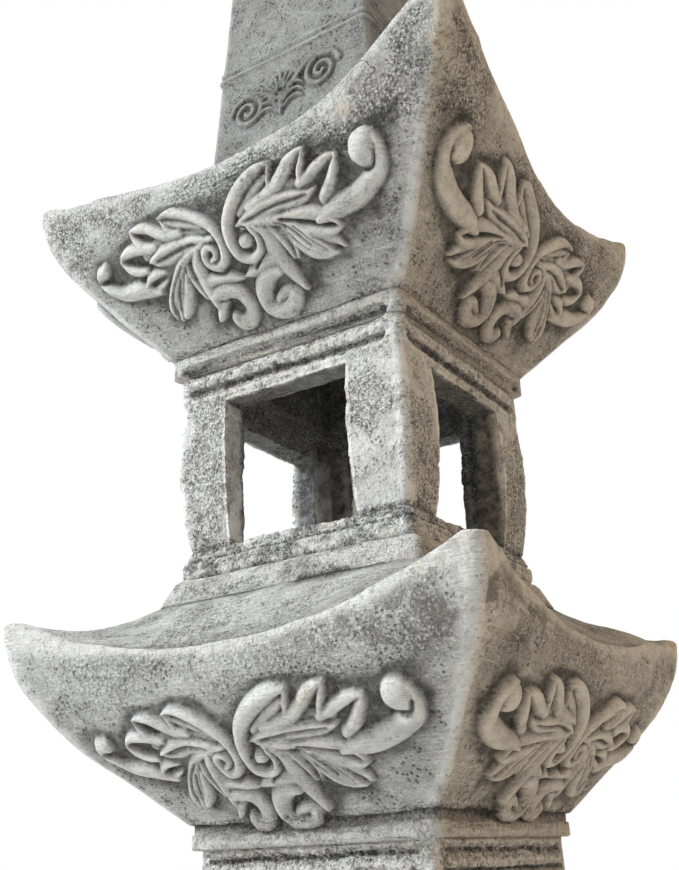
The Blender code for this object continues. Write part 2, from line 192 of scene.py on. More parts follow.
class Relief:
    """A map of how far the carving stands out of one face, in millimetres."""

    def __init__(self, left, right, low, high, pitch=0.5):
        self.left, self.low, self.pitch = left, low, pitch
        self.x, self.z = np.meshgrid(np.arange(left, right, pitch), np.arange(low, high, pitch))
        self.height = np.zeros_like(self.x)

    def _reach(self, points, fuller=1.0):
        """The window that a stroke fills, and how near its spine each place is: 1 on it, 0 at the edge."""
        path = through(points, 0.8)
        path[:, 2] *= fuller
        pad = path[:, 2].max() + 1
        i0, i1 = np.searchsorted(self.z[:, 0], [path[:, 1].min() - pad, path[:, 1].max() + pad])
        j0, j1 = np.searchsorted(self.x[0], [path[:, 0].min() - pad, path[:, 0].max() + pad])
        window = (slice(i0, i1), slice(j0, j1))
        best = np.full(self.x[window].shape, 9.0)
        for x, z, half in path:
            near = ((self.x[window] - x) ** 2 + (self.z[window] - z) ** 2) / max(half, 0.4) ** 2
            best = np.minimum(best, near)
        return window, np.sqrt(np.clip(1 - best, 0, 1))

    def ridge(self, height, *points):
        window, reach = self._reach(points, FULLNESS)
        self.height[window] = np.maximum(self.height[window], height * reach)

    def cut(self, depth, *points):
        window, reach = self._reach(points)
        self.height[window] = np.maximum(self.height[window] - depth * reach, 0)

    def finish(self):
        """Soften the carving a little, and note where it is darker round and between the strokes: dirt and
        painted shade round them, painted shade in their creases.
        """
        self.height = blurred(self.height, 1)
        mask = (self.height > 0.5).astype(float)
        # dirt and painted shade round the strokes, painted shade in the creases between them
        around = 0.70 * blurred(mask, 100) * ease(6.0, 1.5, self.height)
        creases = ease(0.15, 0.8, blurred(self.height, 16) - self.height)
        self.darkening = np.maximum(around, creases)

    def at(self, h, x, z):
        """The value of one of the maps at places given in millimetres."""
        u = np.clip((x - self.left) / self.pitch, 0, h.shape[1] - 1.001)
        v = np.clip((z - self.low) / self.pitch, 0, h.shape[0] - 1.001)
        i, j = v.astype(int), u.astype(int)
        fu, fv = u - j, v - i
        top = h[i, j] * (1 - fu) + h[i, j + 1] * fu
        bottom = h[i + 1, j] * (1 - fu) + h[i + 1, j + 1] * fu
        return top * (1 - fv) + bottom * fv


def roof_relief(ball):
    """The acanthus spray under each eave: two volutes, three-lobed plumes, veined leaves and end curls.

    ball is the radius of the knob that the stem nearest the corner curls round.
    """
    r = Relief(-185, 185, -5, 125)
    # right-hand half, lowest layers first
    r.ridge(4, (20, 80, 4), (45, 84, 6), (70, 86, 6), (92, 85, 4))
    r.ridge(3.5, (30, 72, 4), (60, 72, 9), (85, 68, 10), (100, 62, 4))
    r.ridge(3.5, (45, 62, 5), (68, 50, 9), (85, 44, 6))
    r.ridge(5, (50, 66, 1.5), (54, 58, 3.5), (55, 49, 2.5), (53, 42, 1))
    r.ridge(6.5, (38, 69, 1.5), (43, 61, 3), (48, 51, 2.8), (50, 43, 1))
    r.ridge(6, (72, 60, 2), (84, 52, 5), (94, 46, 4), (99, 40, 1.5))
    r.ridge(6.5, (56, 53, 2), (66, 44, 4), (78, 39.5, 4), (92, 37.5, 1.5))
    r.ridge(7, (56, 62, 2), (63, 54, 3.5), (73, 45, 3.5), (85, 39, 1.5))
    r.ridge(8, (10, 75, 2.5), (28, 73, 4), (45, 71, 4.5), (58, 67, 4.5), (68, 58, 4.2), (78, 48, 3.6),
            (88, 40, 1.4))
    r.ridge(7.5, (82, 86, 4), (92, 89, 4.5), (105, 94, 4.5), (118, 97, 3), (127, 97, 1))
    r.ridge(8, (126, 96, 1.5), (120, 90, 4), (111, 81, 5), (99, 73, 4.5))
    r.ridge(8, (28, 84, 4), (45, 86, 5), (58, 89, 6), (68, 95, 5.5), (80, 103, 5), (90, 107, 3),
            (98, 109, 1))
    r.ridge(7.5, (97, 108, 1.3), (92, 101, 3), (87, 94, 3.5), (84, 88, 3))
    r.ridge(6, (16, 82, 2.5), (30, 88, 3.5), (44, 95, 4), (54, 100, 2.5))
    r.ridge(8, (14, 77, 2), (30, 80, 4.5), (50, 82, 5), (70, 81, 4.5), (86, 79, 3), (96, 81, 1))
    r.ridge(7, (30, 75, 2), (48, 76, 3), (65, 76, 4), (80, 76, 3.5), (95, 80, 1.2))
    r.cut(3, (20, 76.5, 0.8), (45, 78.5, 1.1), (70, 78.5, 1.1), (86, 78.5, 0.7))
    r.ridge(8.5, (50, 71, 2), (64, 69.5, 4), (79, 68, 5.4), (92, 65, 5.2), (101, 59, 3), (105, 53, 1))
    r.ridge(7.5, (56, 64, 2), (68, 59, 4.6), (81, 54.5, 5.4), (93, 52, 4.4), (104, 52, 1.2))
    r.cut(5, (52, 69, 0.9), (68, 65, 1.4), (84, 60, 1.4), (99, 54.5, 0.9))
    r.cut(3, (62, 63, 0.9), (74, 51, 1.1), (84, 42, 0.7))
    r.cut(2.5, (46, 68.5, 0.9), (58, 62.5, 1), (66, 53, 1), (72, 47, 0.8))
    rim = 150 + ball
    r.ridge(9, (88, 61, 2.5), (99, 63.5, 6), (112, 65, 7.4), (128, 67, 7.6), (145, 71.5, 7.4),
            (rim - 3, 78, 6.4), (rim + 2.5, 86, 5.4), (rim + 2, 94, 4.2), (rim - 3, 100.5, 2.4),
            (rim - 9, 103, 1.0))
    r.ridge(12.5, (150, 92.5, 0.86 * ball), (150 + 0.36 * ball, 92.5, 0.86 * ball))
    r.cut(5, (151 - 0.9 * ball, 87, 0.8), (148, 92.5 - 0.98 * ball, 1.1), (157, 93 - 0.96 * ball, 1.1),
            (rim, 89, 0.6))
    r.ridge(8, (12, 75, 2), (24, 72, 5), (33, 64, 7), (35, 54, 8), (37, 44, 7.5), (42, 34, 6),
            (48, 24, 2.5))
    r.ridge(7.5, (32, 47, 6), (18, 46, 5), (6, 45, 4.5), (-3, 44, 1.5))
    r.ridge(7, (38, 23, 4.5), (28, 24.5, 4.5), (17, 22, 3))
    r.ridge(9, (30, 39, 4), (20, 39, 6), (9, 34, 7.6), (4, 25, 7.6), (7, 18, 6.6), (17, 14.5, 6.2),
            (28, 15.5, 6.2), (35, 21, 6))
    r.cut(4, (14, 27, 0.8), (22, 30, 1.4), (34, 30, 1))
    r.cut(7, (23, 70, 1.2), (28.5, 63, 1.6), (24, 54, 1.5), (11, 46.5, 1.2))
    r.ridge(9.5, (20, 71, 2), (25, 66, 2.8), (24, 58, 3.4), (17, 53.5, 3.8), (8, 53, 4), (0, 57, 4.4),
            (-3, 65, 4.8), (-1.5, 75, 5), (5, 84, 5.2), (14, 91, 5.6), (26, 98, 6), (38, 103, 6),
            (50, 107, 4.6), (62, 108, 1.2))
    r.cut(7, (3, 60, 0.9), (3.5, 68, 1.5), (9, 74, 1.3), (17, 72.5, 1.1), (20.5, 66, 1), (18, 59.5, 1),
            (10, 57.5, 1.1), (4, 60, 0.9))
    r.ridge(9, (9, 64.5, 4.6), (13.5, 64.5, 4.6))
    r.ridge(7, (61, 107, 1.3), (57, 100, 2.8), (55, 93, 2.8), (52, 88, 2))
    # left-hand half
    r.ridge(4, (-25, 80, 4), (-50, 84, 5), (-75, 84, 6), (-97, 80, 4))
    r.ridge(3.5, (-40, 70, 4), (-66, 70, 8), (-92, 64, 8))
    r.ridge(3.5, (-50, 60, 5), (-72, 54, 9), (-88, 42, 5))
    r.ridge(5, (-50, 64, 1.2), (-52, 54, 2.5), (-52, 46, 1.5))
    r.ridge(6.5, (-57, 64, 1.5), (-59, 56, 3), (-57, 47, 2.8), (-53, 39, 1.2))
    r.ridge(7.5, (-62, 58, 2), (-69, 48, 5), (-77, 40, 5), (-85, 33, 2.5))
    r.ridge(7, (-62, 63, 2), (-72, 55, 3.5), (-81, 46, 4), (-88, 37, 3.5), (-91, 31, 1.5))
    r.ridge(8, (-32, 72, 2.5), (-50, 70, 3.5), (-64, 65, 4), (-76, 57, 4.5), (-87, 48, 5), (-95, 40, 4),
            (-95, 33, 1.5))
    r.cut(3, (-94, 37, 0.8), (-88, 46.5, 1.1), (-78, 55.5, 1), (-62, 65, 0.8))
    r.cut(3, (-86, 38, 0.8), (-79, 48, 1.1), (-70, 57, 0.8))
    r.ridge(7, (-82, 83, 3.5), (-95, 86, 4.5), (-108, 88, 4.5), (-120, 87, 3), (-126, 83, 1.2))
    r.ridge(7, (-125, 83, 1.5), (-121, 77, 3.5), (-112, 72, 4), (-101, 70.5, 2.5))
    r.ridge(7.5, (-50, 85, 3), (-64, 87, 4.5), (-74, 92, 5), (-84, 98, 4.5), (-94, 101, 3.5),
            (-102, 102, 1.2))
    r.ridge(7, (-102, 101, 1.5), (-100, 94, 3), (-94, 87, 3.5), (-88, 82, 2.5))
    r.ridge(6, (-28, 84, 2), (-40, 89, 3), (-52, 93, 3.5), (-62, 97, 2.5))
    r.ridge(8, (-24, 74, 2), (-38, 77, 3.5), (-55, 79.5, 4.5), (-72, 79, 4.5), (-85, 76.5, 3.2),
            (-93, 75, 1.2))
    r.ridge(6.5, (-42, 73.5, 2), (-58, 73, 2.5), (-72, 71.5, 3), (-85, 72, 2.5), (-91, 74, 1))
    r.cut(3, (-40, 75.5, 0.8), (-62, 76, 1.1), (-85, 74.5, 0.7))
    r.ridge(7.5, (-82, 66, 2), (-92, 66.5, 3.5), (-102, 65, 4), (-110, 60, 2.5), (-114, 57, 1))
    r.ridge(6.5, (-85, 60, 2), (-95, 57.5, 3), (-105, 56.5, 2.8), (-113, 56.5, 1))
    r.cut(3, (-86, 62, 0.8), (-98, 61.5, 1.1), (-109, 59, 0.7))
    r.ridge(8, (-97, 54, 2.5), (-108, 57, 5), (-122, 60.5, 6), (-138, 63.5, 6), (-150, 69, 5),
            (-159, 76, 3.5), (-162, 84, 2))
    r.ridge(8, (-151, 84, 6.2), (-158, 84, 6.2))
    r.cut(4, (-147, 79, 0.8), (-153, 76.5, 1.0), (-160, 78, 0.8))
    r.ridge(8, (-20, 74, 2), (-30, 73.5, 3), (-40, 69, 4.5), (-46, 61, 6), (-47, 50, 7), (-46, 40, 6),
            (-45, 33, 4))
    r.ridge(7, (-34, 35, 2), (-41, 31, 4), (-47, 26, 4), (-51, 22, 1.8))
    r.ridge(7.5, (-46, 48, 5), (-32, 48, 4.5), (-18, 46, 4), (-6, 43.5, 1.5))
    r.ridge(8.5, (-44, 39, 4.6), (-30, 39.5, 5.4), (-19, 36, 6.2), (-14, 28, 6.6), (-15, 20.5, 6.4),
            (-22, 15.5, 6.2), (-30, 15.5, 6), (-34, 19, 5.4))
    r.cut(4, (-40, 34, 0.8), (-30, 32, 1.3), (-25.5, 27, 1.3), (-29, 24, 0.9))
    r.cut(6, (-36.5, 70, 1), (-39.5, 62, 1.4), (-34, 53, 1.4), (-24, 49.5, 1.2), (-14, 52, 1))
    r.ridge(9, (-28, 60.5, 1.6), (-22.5, 62, 2.1), (-22, 67, 2.4), (-28, 69.5, 2.7), (-33.5, 66, 3),
            (-33, 59.5, 3.2), (-27, 55.5, 3.4), (-19, 56.5, 3.6), (-13.5, 62, 4), (-12, 70, 4.2),
            (-15, 79, 4.4), (-23, 87, 4.8), (-34, 94.5, 5), (-47, 100, 4.6), (-58, 102, 3), (-67, 101, 1.2))
    r.cut(6, (-26, 64.5, 1), (-26.5, 66, 1))
    r.ridge(7, (-66, 100, 1.5), (-63, 93, 3), (-58, 88.5, 3), (-50, 87.5, 2))
    r.finish()
    return r


def block_relief():
    """A fan palmette on a stem, with a leafy scroll to each side of it."""
    r = Relief(-80, 80, 40, 120)
    axis, heart = -10.0, 74.0
    petals = 9
    for i in range(petals):
        angle = math.radians(90 + 68 * (2 * i / (petals - 1) - 1))
        c, s = math.cos(angle), math.sin(angle)
        reach = 27 - 5 * abs(2 * i / (petals - 1) - 1)
        r.ridge(3.2, (axis + 9 * c, heart + 9 * s, 1.3),
                (axis + 0.7 * reach * c, heart + 0.7 * reach * s, 2.1),
                (axis + reach * c, heart + reach * s, 1.6))
    for side, x, z in ((-1, -53.0, 68.0), (1, 41.0, 81.0)):
        start = 200 if side < 0 else -20
        r.ridge(3.6, *spiral(x, z, 2.5, 22.5, start, -side * 1.9, 3.8))
        top = z + 23.0
        inward = -side
        r.ridge(3.6, (x - 4 * inward, top, 2.4), (x + 8 * inward, top - 1, 2.8),
                (x + 20 * inward, top - 7, 3), (x + 31 * inward, top - 18, 3),
                (axis + side * 3, z - 14, 2.4))
        for step in range(3):
            foot = 52 + 8.5 * step + (3 if side > 0 else 0)
            r.ridge(3.4, (axis + side * 4, foot, 2), (axis + side * 12, foot + 8, 2.6),
                    (axis + side * 21, foot + 9, 2.4), (axis + side * 28, foot + 4, 1.2))
    r.ridge(4, (axis, 48, 2.2), (axis, 60, 3.6), (axis, 74, 3.2))
    r.ridge(4, (axis - 4, 78, 1.4), (axis - 4.5, 85, 1.6), (axis, 91, 1.8), (axis + 4.5, 85, 1.6),
            (axis + 4, 78, 1.4))
    r.finish()
    return r


# ---------------------------------------------------------------- meshes from rings
class Rings:
    """Loops round a rounded square, close together, as a grid of points with their place on a face."""

    def __init__(self, side_count, radius, corner_count=8):
        self.side = np.linspace(-1, 1, side_count)
        self.turn = np.linspace(0, math.pi / 2, corner_count + 1)[1:-1]
        self.radius = radius
        self.rows = []

    def add(self, half, z, radius=None, bow=0.0, dip=0.0, inset=0.0, reach=0.95):
        """inset sinks the sides but not the corners: it fades out past reach, a share of the half side."""
        self.rows.append((half, z, self.radius if radius is None else radius, bow, dip, inset, reach))

    def level(self, z, *halves):
        """Rings inside each other at one height, towards the middle of an end or away from it."""
        for half in halves:
            self.add(half, z)

    def points(self):
        """Arrays over rows and columns: the point, and its place along its face."""
        half, z, radius, bow, dip, inset, reach = (np.array(column)[:, None] for column in zip(*self.rows))
        s = self.side[None, :]
        hollow = 1 - s * s
        stop = 1 - ease(reach - 0.070, reach, np.abs(s))
        out = half - bow * hollow - inset * stop
        along = s * (half - radius)
        up = z - dip * hollow
        corner_out = half - radius + radius * np.cos(self.turn)
        corner_along = half - radius + radius * np.sin(self.turn)
        out = np.hstack([out, corner_out])
        along = np.hstack([along, corner_along])
        up = np.hstack([up, np.repeat(z, len(self.turn), 1)])
        sides = []
        for turn in range(4):
            c, k = round(math.cos(turn * math.pi / 2)), round(math.sin(turn * math.pi / 2))
            sides.append(np.stack([out * c - along * k, out * k + along * c, up], -1))
        return np.concatenate(sides, 1), np.tile(along, (1, 4)), np.tile(up, (1, 4))


def faces(p):
    """The four faces of a grid over rings: each one's number and its part of the grid."""
    columns = p.shape[1] // 4
    return [(turn, (slice(None), slice(turn * columns, (turn + 1) * columns))) for turn in range(4)]


def grid_normals(p):
    across = np.roll(p, -1, 1) - np.roll(p, 1, 1)
    along = np.gradient(p, axis=0)
    n = np.cross(across, along)
    return n / np.maximum(np.linalg.norm(n, axis=-1, keepdims=True), 1e-12)


def grid_object(name, p):
    """A closed mesh over a grid of rings, with its first and last rings filled."""
    rows, columns = p.shape[:2]
    index = np.arange(rows * columns).reshape(rows, columns)
    after = np.roll(index, -1, 1)
    quads = np.stack([index[:-1], after[:-1], after[1:], index[1:]], -1).reshape(-1, 4)
    faces = quads.tolist()
    faces.append(index[0, ::-1].tolist())
    faces.append(index[-1].tolist())
    mesh = bpy.data.meshes.new(name)
    mesh.from_pydata(p.reshape(-1, 3).tolist(), [], faces)
    return in_scene(name, mesh)


def in_scene(name, data):
    """A new object of this data, linked to the scene."""
    obj = bpy.data.objects.new(name, data)
    bpy.context.scene.collection.objects.link(obj)
    return obj


def mesh_from(bm, name):
    mesh = bpy.data.meshes.new(name)
    bm.to_mesh(mesh)
    bm.free()
    return mesh


def rough_box(name, halves, low, high, wobble, seed):
    """A box with uneven faces, to hollow a stone with."""
    bm = bmesh.new()
    bmesh.ops.create_cube(bm, size=2.0)
    bmesh.ops.subdivide_edges(bm, edges=bm.edges, cuts=70 if FINE else 24, use_grid_fill=True)
    mesh = mesh_from(bm, name)
    co = coordinates(mesh)
    shape = co * (*halves, (high - low) / 2) + (0, 0, (high + low) / 2)
    lumps = fractal(shape, *HACKED, seed=seed, gain=0.62)
    shape += co * (wobble * lumps)[:, None]
    mesh.vertices.foreach_set("co", shape.ravel())
    return in_scene(name, mesh)


def rough_shaft(name, half, radius, low, high, wobble, seed):
    """An upright square shaft with rounded corners and uneven faces, to hollow a chamber with."""
    step = 3.0 * MM if FINE else 8.0 * MM
    rings = Rings(int(2 * half / step), radius, corner_count=9)
    for z in np.arange(low, high, step):
        rings.add(half, z)
    p = rings.points()[0]
    lumps = fractal(p.reshape(-1, 3), *HACKED, seed=seed, gain=0.62).reshape(p.shape[:2])
    p[..., :2] *= 1 + (wobble * lumps / half)[..., None]
    return grid_object(name, p)


def cylinder(name, x, y, low, high, radius):
    bm = bmesh.new()
    bmesh.ops.create_cone(
        bm, cap_ends=True, segments=HOLE_SIDES, radius1=radius, radius2=radius, depth=high - low)
    obj = in_scene(name, mesh_from(bm, name))
    obj.location = (x, y, (low + high) / 2)
    return obj


def coordinates(mesh):
    co = np.zeros(len(mesh.vertices) * 3)
    mesh.vertices.foreach_get("co", co)
    return co.reshape(-1, 3)


def normals(mesh):
    n = np.zeros(len(mesh.vertices) * 3)
    mesh.vertex_normals.foreach_get("vector", n)
    return n.reshape(-1, 3)


def apply_modifiers(obj):
    depsgraph = bpy.context.evaluated_depsgraph_get()
    mesh = bpy.data.meshes.new_from_object(obj.evaluated_get(depsgraph))
    obj.modifiers.clear()
    old = obj.data
    obj.data = mesh
    bpy.data.meshes.remove(old)


def hollow(obj, cutters):
    for cutter in cutters:
        cut = obj.modifiers.new("cut", "BOOLEAN")
        cut.operation = "DIFFERENCE"
        cut.solver = "MANIFOLD"
        cut.object = cutter
    apply_modifiers(obj)
    for cutter in cutters:
        bpy.data.objects.remove(cutter)


def thin_out(obj, most):
    """Spend triangles where the shape needs them."""
    triangles = sum(len(p.vertices) - 2 for p in obj.data.polygons)
    if triangles > most:
        thin = obj.modifiers.new("thin", "DECIMATE")
        thin.ratio = most / triangles
        apply_modifiers(obj)
    mend(obj)


def mend(obj):
    """Weld points that a cut left on top of each other, and drop the faces it left folded together."""
    mesh = obj.data
    mesh.calc_loop_triangles()
    corners = np.zeros(len(mesh.loop_triangles) * 3, np.int32)
    mesh.loop_triangles.foreach_get("vertices", corners)
    co = coordinates(mesh)
    cells = np.round(co / WELD).astype(np.int64)
    _, first, place = np.unique(cells, axis=0, return_index=True, return_inverse=True)
    triangles = first[place.ravel()[corners]].reshape(-1, 3)
    a, b, c = triangles.T
    triangles = triangles[(a != b) & (b != c) & (c != a)]
    _, which, count = np.unique(np.sort(triangles, 1), axis=0, return_inverse=True, return_counts=True)
    triangles = triangles[count[which.ravel()] == 1]
    used, corners = np.unique(triangles, return_inverse=True)
    obj.data = bpy.data.meshes.new(mesh.name)
    obj.data.from_pydata(co[used].tolist(), [], corners.reshape(-1, 3).tolist())
    for name in ("darkening", "raised"):
        set_attribute(obj.data, name, get_attribute(mesh, name)[used])
    bpy.data.meshes.remove(mesh)


# ---------------------------------------------------------------- weathering
def spread(mesh, values, rounds):
    """Values averaged with their neighbours' along the mesh's edges."""
    ends = np.zeros(len(mesh.edges) * 2, np.int64)
    mesh.edges.foreach_get("vertices", ends)
    a, b = ends[0::2], ends[1::2]
    count = len(mesh.vertices)
    links = np.maximum(np.bincount(a, minlength=count) + np.bincount(b, minlength=count), 1)
    values = values.copy()
    for _ in range(rounds):
        for k in range(values.shape[1]):
            v = values[:, k]
            total = np.bincount(a, v[b], count) + np.bincount(b, v[a], count)
            values[:, k] = 0.4 * v + 0.6 * total / links
    return values


def set_attribute(mesh, name, values):
    attribute = mesh.attributes.get(name) or mesh.attributes.new(name, "FLOAT", "POINT")
    attribute.data.foreach_set("value", values.astype(np.float32).ravel())


def get_attribute(mesh, name):
    values = np.zeros(len(mesh.vertices), np.float32)
    attribute = mesh.attributes.get(name)
    if attribute is not None:
        attribute.data.foreach_get("value", values)
    return values


def untouched(co, n=None):
    return np.zeros(len(co))


def from_middle(co):
    """How far each point is from the middle, across the face it is nearest to and along that face."""
    x, y = np.abs(co[:, 0]), np.abs(co[:, 1])
    return np.maximum(x, y), np.minimum(x, y)


def weather(obj, pitted, soot_crust_and_shade=untouched, clean_and_lit=untouched, rough_mm=0.35, lump_mm=0.5, seed=0):
    """Roughen a stone's faces, then note where it is darker, from dirt and painted shade in its hollows, and
    where it is lighter, from wear and painted highlight on its edges.

    pitted(co) says how coarse the surface is at each point, from 0 to 1. The next function, of co and n, says
    how dark soot, crust and painted shade make it, and the last, of co, how much of the dirt has gone from it
    and how much painted light it gets.
    """
    mesh = obj.data
    co = coordinates(mesh)
    n = normals(mesh)
    coarse = pitted(co)
    grain = fractal(co, *GRAIN, seed=seed + 11, gain=0.65)
    lumps = fractal(co, *LUMPS, seed=seed + 5)
    pits = ease(0.35, 0.75, fractal(co, *PITS, seed=seed + 31, gain=0.6))
    smooth = 1 - 0.7 * get_attribute(mesh, "raised")
    push = lump_mm * lumps + rough_mm * smooth * grain * (0.30 + 0.70 * coarse) - 0.9 * coarse * pits
    co += n * (push * MM)[:, None]
    mesh.vertices.foreach_set("co", co.ravel())
    mesh.update()
    n = normals(mesh)
    near = ((spread(mesh, co, 4) - co) * n).sum(1)
    wide = ((spread(mesh, co, 24) - co) * n).sum(1)
    near, wide = spread(mesh, np.stack([near, wide], 1), 1).T
    # darker in hollows and creases, from dirt and painted shade; lighter on arrises, from wear and painted
    # highlight
    grime_and_shade = ease(0.06, 0.7, near / MM) * 0.6 + ease(0.25, 2.2, wide / MM)
    worn_and_highlit = ease(0.05, 0.7, -near / MM) * 0.6 + ease(0.2, 2.0, -wide / MM)
    # darker round and between the carved strokes: dirt and painted shade round them, painted shade in their
    # creases
    grime_and_shade = np.maximum(grime_and_shade, 0.92 * get_attribute(mesh, "darkening"))
    soot_crust_shade, washed_and_lit = soot_crust_and_shade(co, n), clean_and_lit(co)
    # painted shade: less of it on faces that turn up to the light, and less on rubbed faces and painted lit
    # ones
    grime_and_shade = grime_and_shade * (1 - 0.6 * ease(0.35, 0.75, n[:, 2])) * (1 - np.minimum(1, 2.2 * washed_and_lit))
    # soot, crust, and painted shade inside the stone
    grime_and_shade = np.maximum(grime_and_shade, soot_crust_shade * (0.85 + 0.15 * fractal(co, 0.05, 2, seed + 7)))
    # lit and rubbed faces also take the pale wear colour: wear and painted highlight
    worn_and_highlit = worn_and_highlit * (1 - np.minimum(1, 2 * soot_crust_shade)) + 0.85 * washed_and_lit
    set_attribute(mesh, "grime_and_shade", np.clip(grime_and_shade, 0, 1))
    set_attribute(mesh, "worn_and_highlit", np.clip(worn_and_highlit, 0, 1))
    set_attribute(mesh, "pitted", coarse)
    # painted warm shade on the faces towards +X, away from the key light
    set_attribute(mesh, "warm_side_shade", ease(-0.004, 0.012, co[:, 0] - np.abs(co[:, 1])))
    mesh.shade_smooth()


def finish_stone(obj, node, body, look):
    obj.data.materials.clear()
    obj.data.materials.append(look)
    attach(obj, body)
    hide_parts(node)


# ---------------------------------------------------------------- materials
class Nodes:
    """A node tree under construction."""

    def __init__(self, owner):
        owner.use_nodes = True
        self.tree = owner.node_tree

    def put(self, socket, value):
        if isinstance(value, bpy.types.NodeSocket):
            self.tree.links.new(value, socket)
        elif isinstance(value, tuple) and len(value) == 3 and socket.type == "RGBA":
            socket.default_value = (*value, 1.0)
        else:
            socket.default_value = value

    def node(self, kind, inputs, **settings):
        made = self.tree.nodes.new(kind)
        for key, value in settings.items():
            setattr(made, key, value)
        for key, value in inputs.items():
            self.put(made.inputs[key], value)
        return made


class Look(Nodes):
    """A procedural material under construction. Its pattern sits in the stone, in metres."""

    def __init__(self, name):
        self.material = bpy.data.materials.new(name)
        super().__init__(self.material)
        self.shader = self.tree.nodes["Principled BSDF"]
        self.place = self.tree.nodes.new("ShaderNodeTexCoord").outputs["Object"]

    def stretched(self, scale):
        return self.node("ShaderNodeMapping", {"Vector": self.place, "Scale": scale}).outputs["Vector"]

    def noise(self, scale, detail=3.0, roughness=0.55, stretch=None, twist=0.0):
        place = self.stretched(stretch) if stretch else self.place
        made = self.node("ShaderNodeTexNoise", {
            "Vector": place, "Scale": scale, "Detail": detail, "Roughness": roughness, "Distortion": twist,
        })
        return made.outputs["Fac"]

    def cells(self, scale, feature="F1", warp=None):
        inputs = {"Vector": warp or self.place, "Scale": scale}
        made = self.node("ShaderNodeTexVoronoi", inputs, feature=feature)
        return made.outputs["Distance"]

    def attribute(self, name):
        return self.node("ShaderNodeAttribute", {}, attribute_name=name).outputs["Fac"]

    def step(self, value, low, high, start=0.0, end=1.0):
        made = self.node("ShaderNodeMapRange", {
            "Value": value, "From Min": low, "From Max": high, "To Min": start, "To Max": end,
        }, interpolation_type="SMOOTHSTEP")
        return made.outputs["Result"]

    def math(self, operation, a, b=0.0, c=None):
        made = self.node("ShaderNodeMath", {0: a, 1: b}, operation=operation)
        if c is not None:
            self.put(made.inputs[2], c)
        return made.outputs["Value"]

    def times(self, a, b):
        return self.math("MULTIPLY", a, b)

    def added(self, a, share, rest):
        return self.math("MULTIPLY_ADD", a, share, rest)

    def tinted(self, colour, by):
        return self.blend(1.0, colour, by, "MULTIPLY")

    def coated(self, colour, *coats):
        """A colour under coats of other colours. Each coat is how much of it covers, and its colour."""
        for amount, coat in coats:
            colour = self.blend(amount, colour, coat)
        return colour

    def blend(self, amount, a, b, mode="MIX"):
        made = self.node("ShaderNodeMix", {"Factor": amount}, data_type="RGBA", blend_type=mode)
        self.put(made.inputs[6], a)
        self.put(made.inputs[7], b)
        return made.outputs[2]

    def bump(self, height, distance, strength=1.0, normal=None):
        inputs = {"Height": height, "Distance": distance, "Strength": strength}
        if normal is not None:
            inputs["Normal"] = normal
        return self.node("ShaderNodeBump", inputs).outputs["Normal"]

    def finish(self, colour, roughness, normal):
        self.put(self.shader.inputs["Base Color"], colour)
        self.put(self.shader.inputs["Roughness"], roughness)
        self.put(self.shader.inputs["Normal"], normal)
        return self.material


GREY_PASTE = (0.600, 0.602, 0.596)
DULL_PASTE = (0.440, 0.440, 0.432)
DEEP_PASTE = (0.315, 0.313, 0.303)
TAN_PASTE = (0.420, 0.380, 0.325)
PALE_PASTE = (0.720, 0.725, 0.720)
PALE_CLOUD = (0.690, 0.690, 0.680)
PALE_STREAK = (0.745, 0.740, 0.720)
BLOOM = (0.150, 0.142, 0.125)
CARVED = (0.610, 0.608, 0.596)
DARK_GRAIN = (0.075, 0.075, 0.073)
SALT = (0.88, 0.88, 0.86)
PEPPER = (0.12, 0.12, 0.115)
PIT = (0.065, 0.065, 0.064)
SPECK = (0.07, 0.07, 0.068)
# pale wear on rubbed arrises, with painted highlight on them
RUBBED_AND_HIGHLIT = (0.790, 0.785, 0.765)
WARM_RUBBED_AND_HIGHLIT = (0.72, 0.63, 0.52)
# near black: dirt, and painted shade in hollows and creases
DIRT_AND_SHADE = (0.055, 0.055, 0.055)
# painted warm shade, for the faces towards +X
WARM_SHADE_TINT = (0.90, 0.765, 0.605)
CRACK = (0.06, 0.058, 0.055)


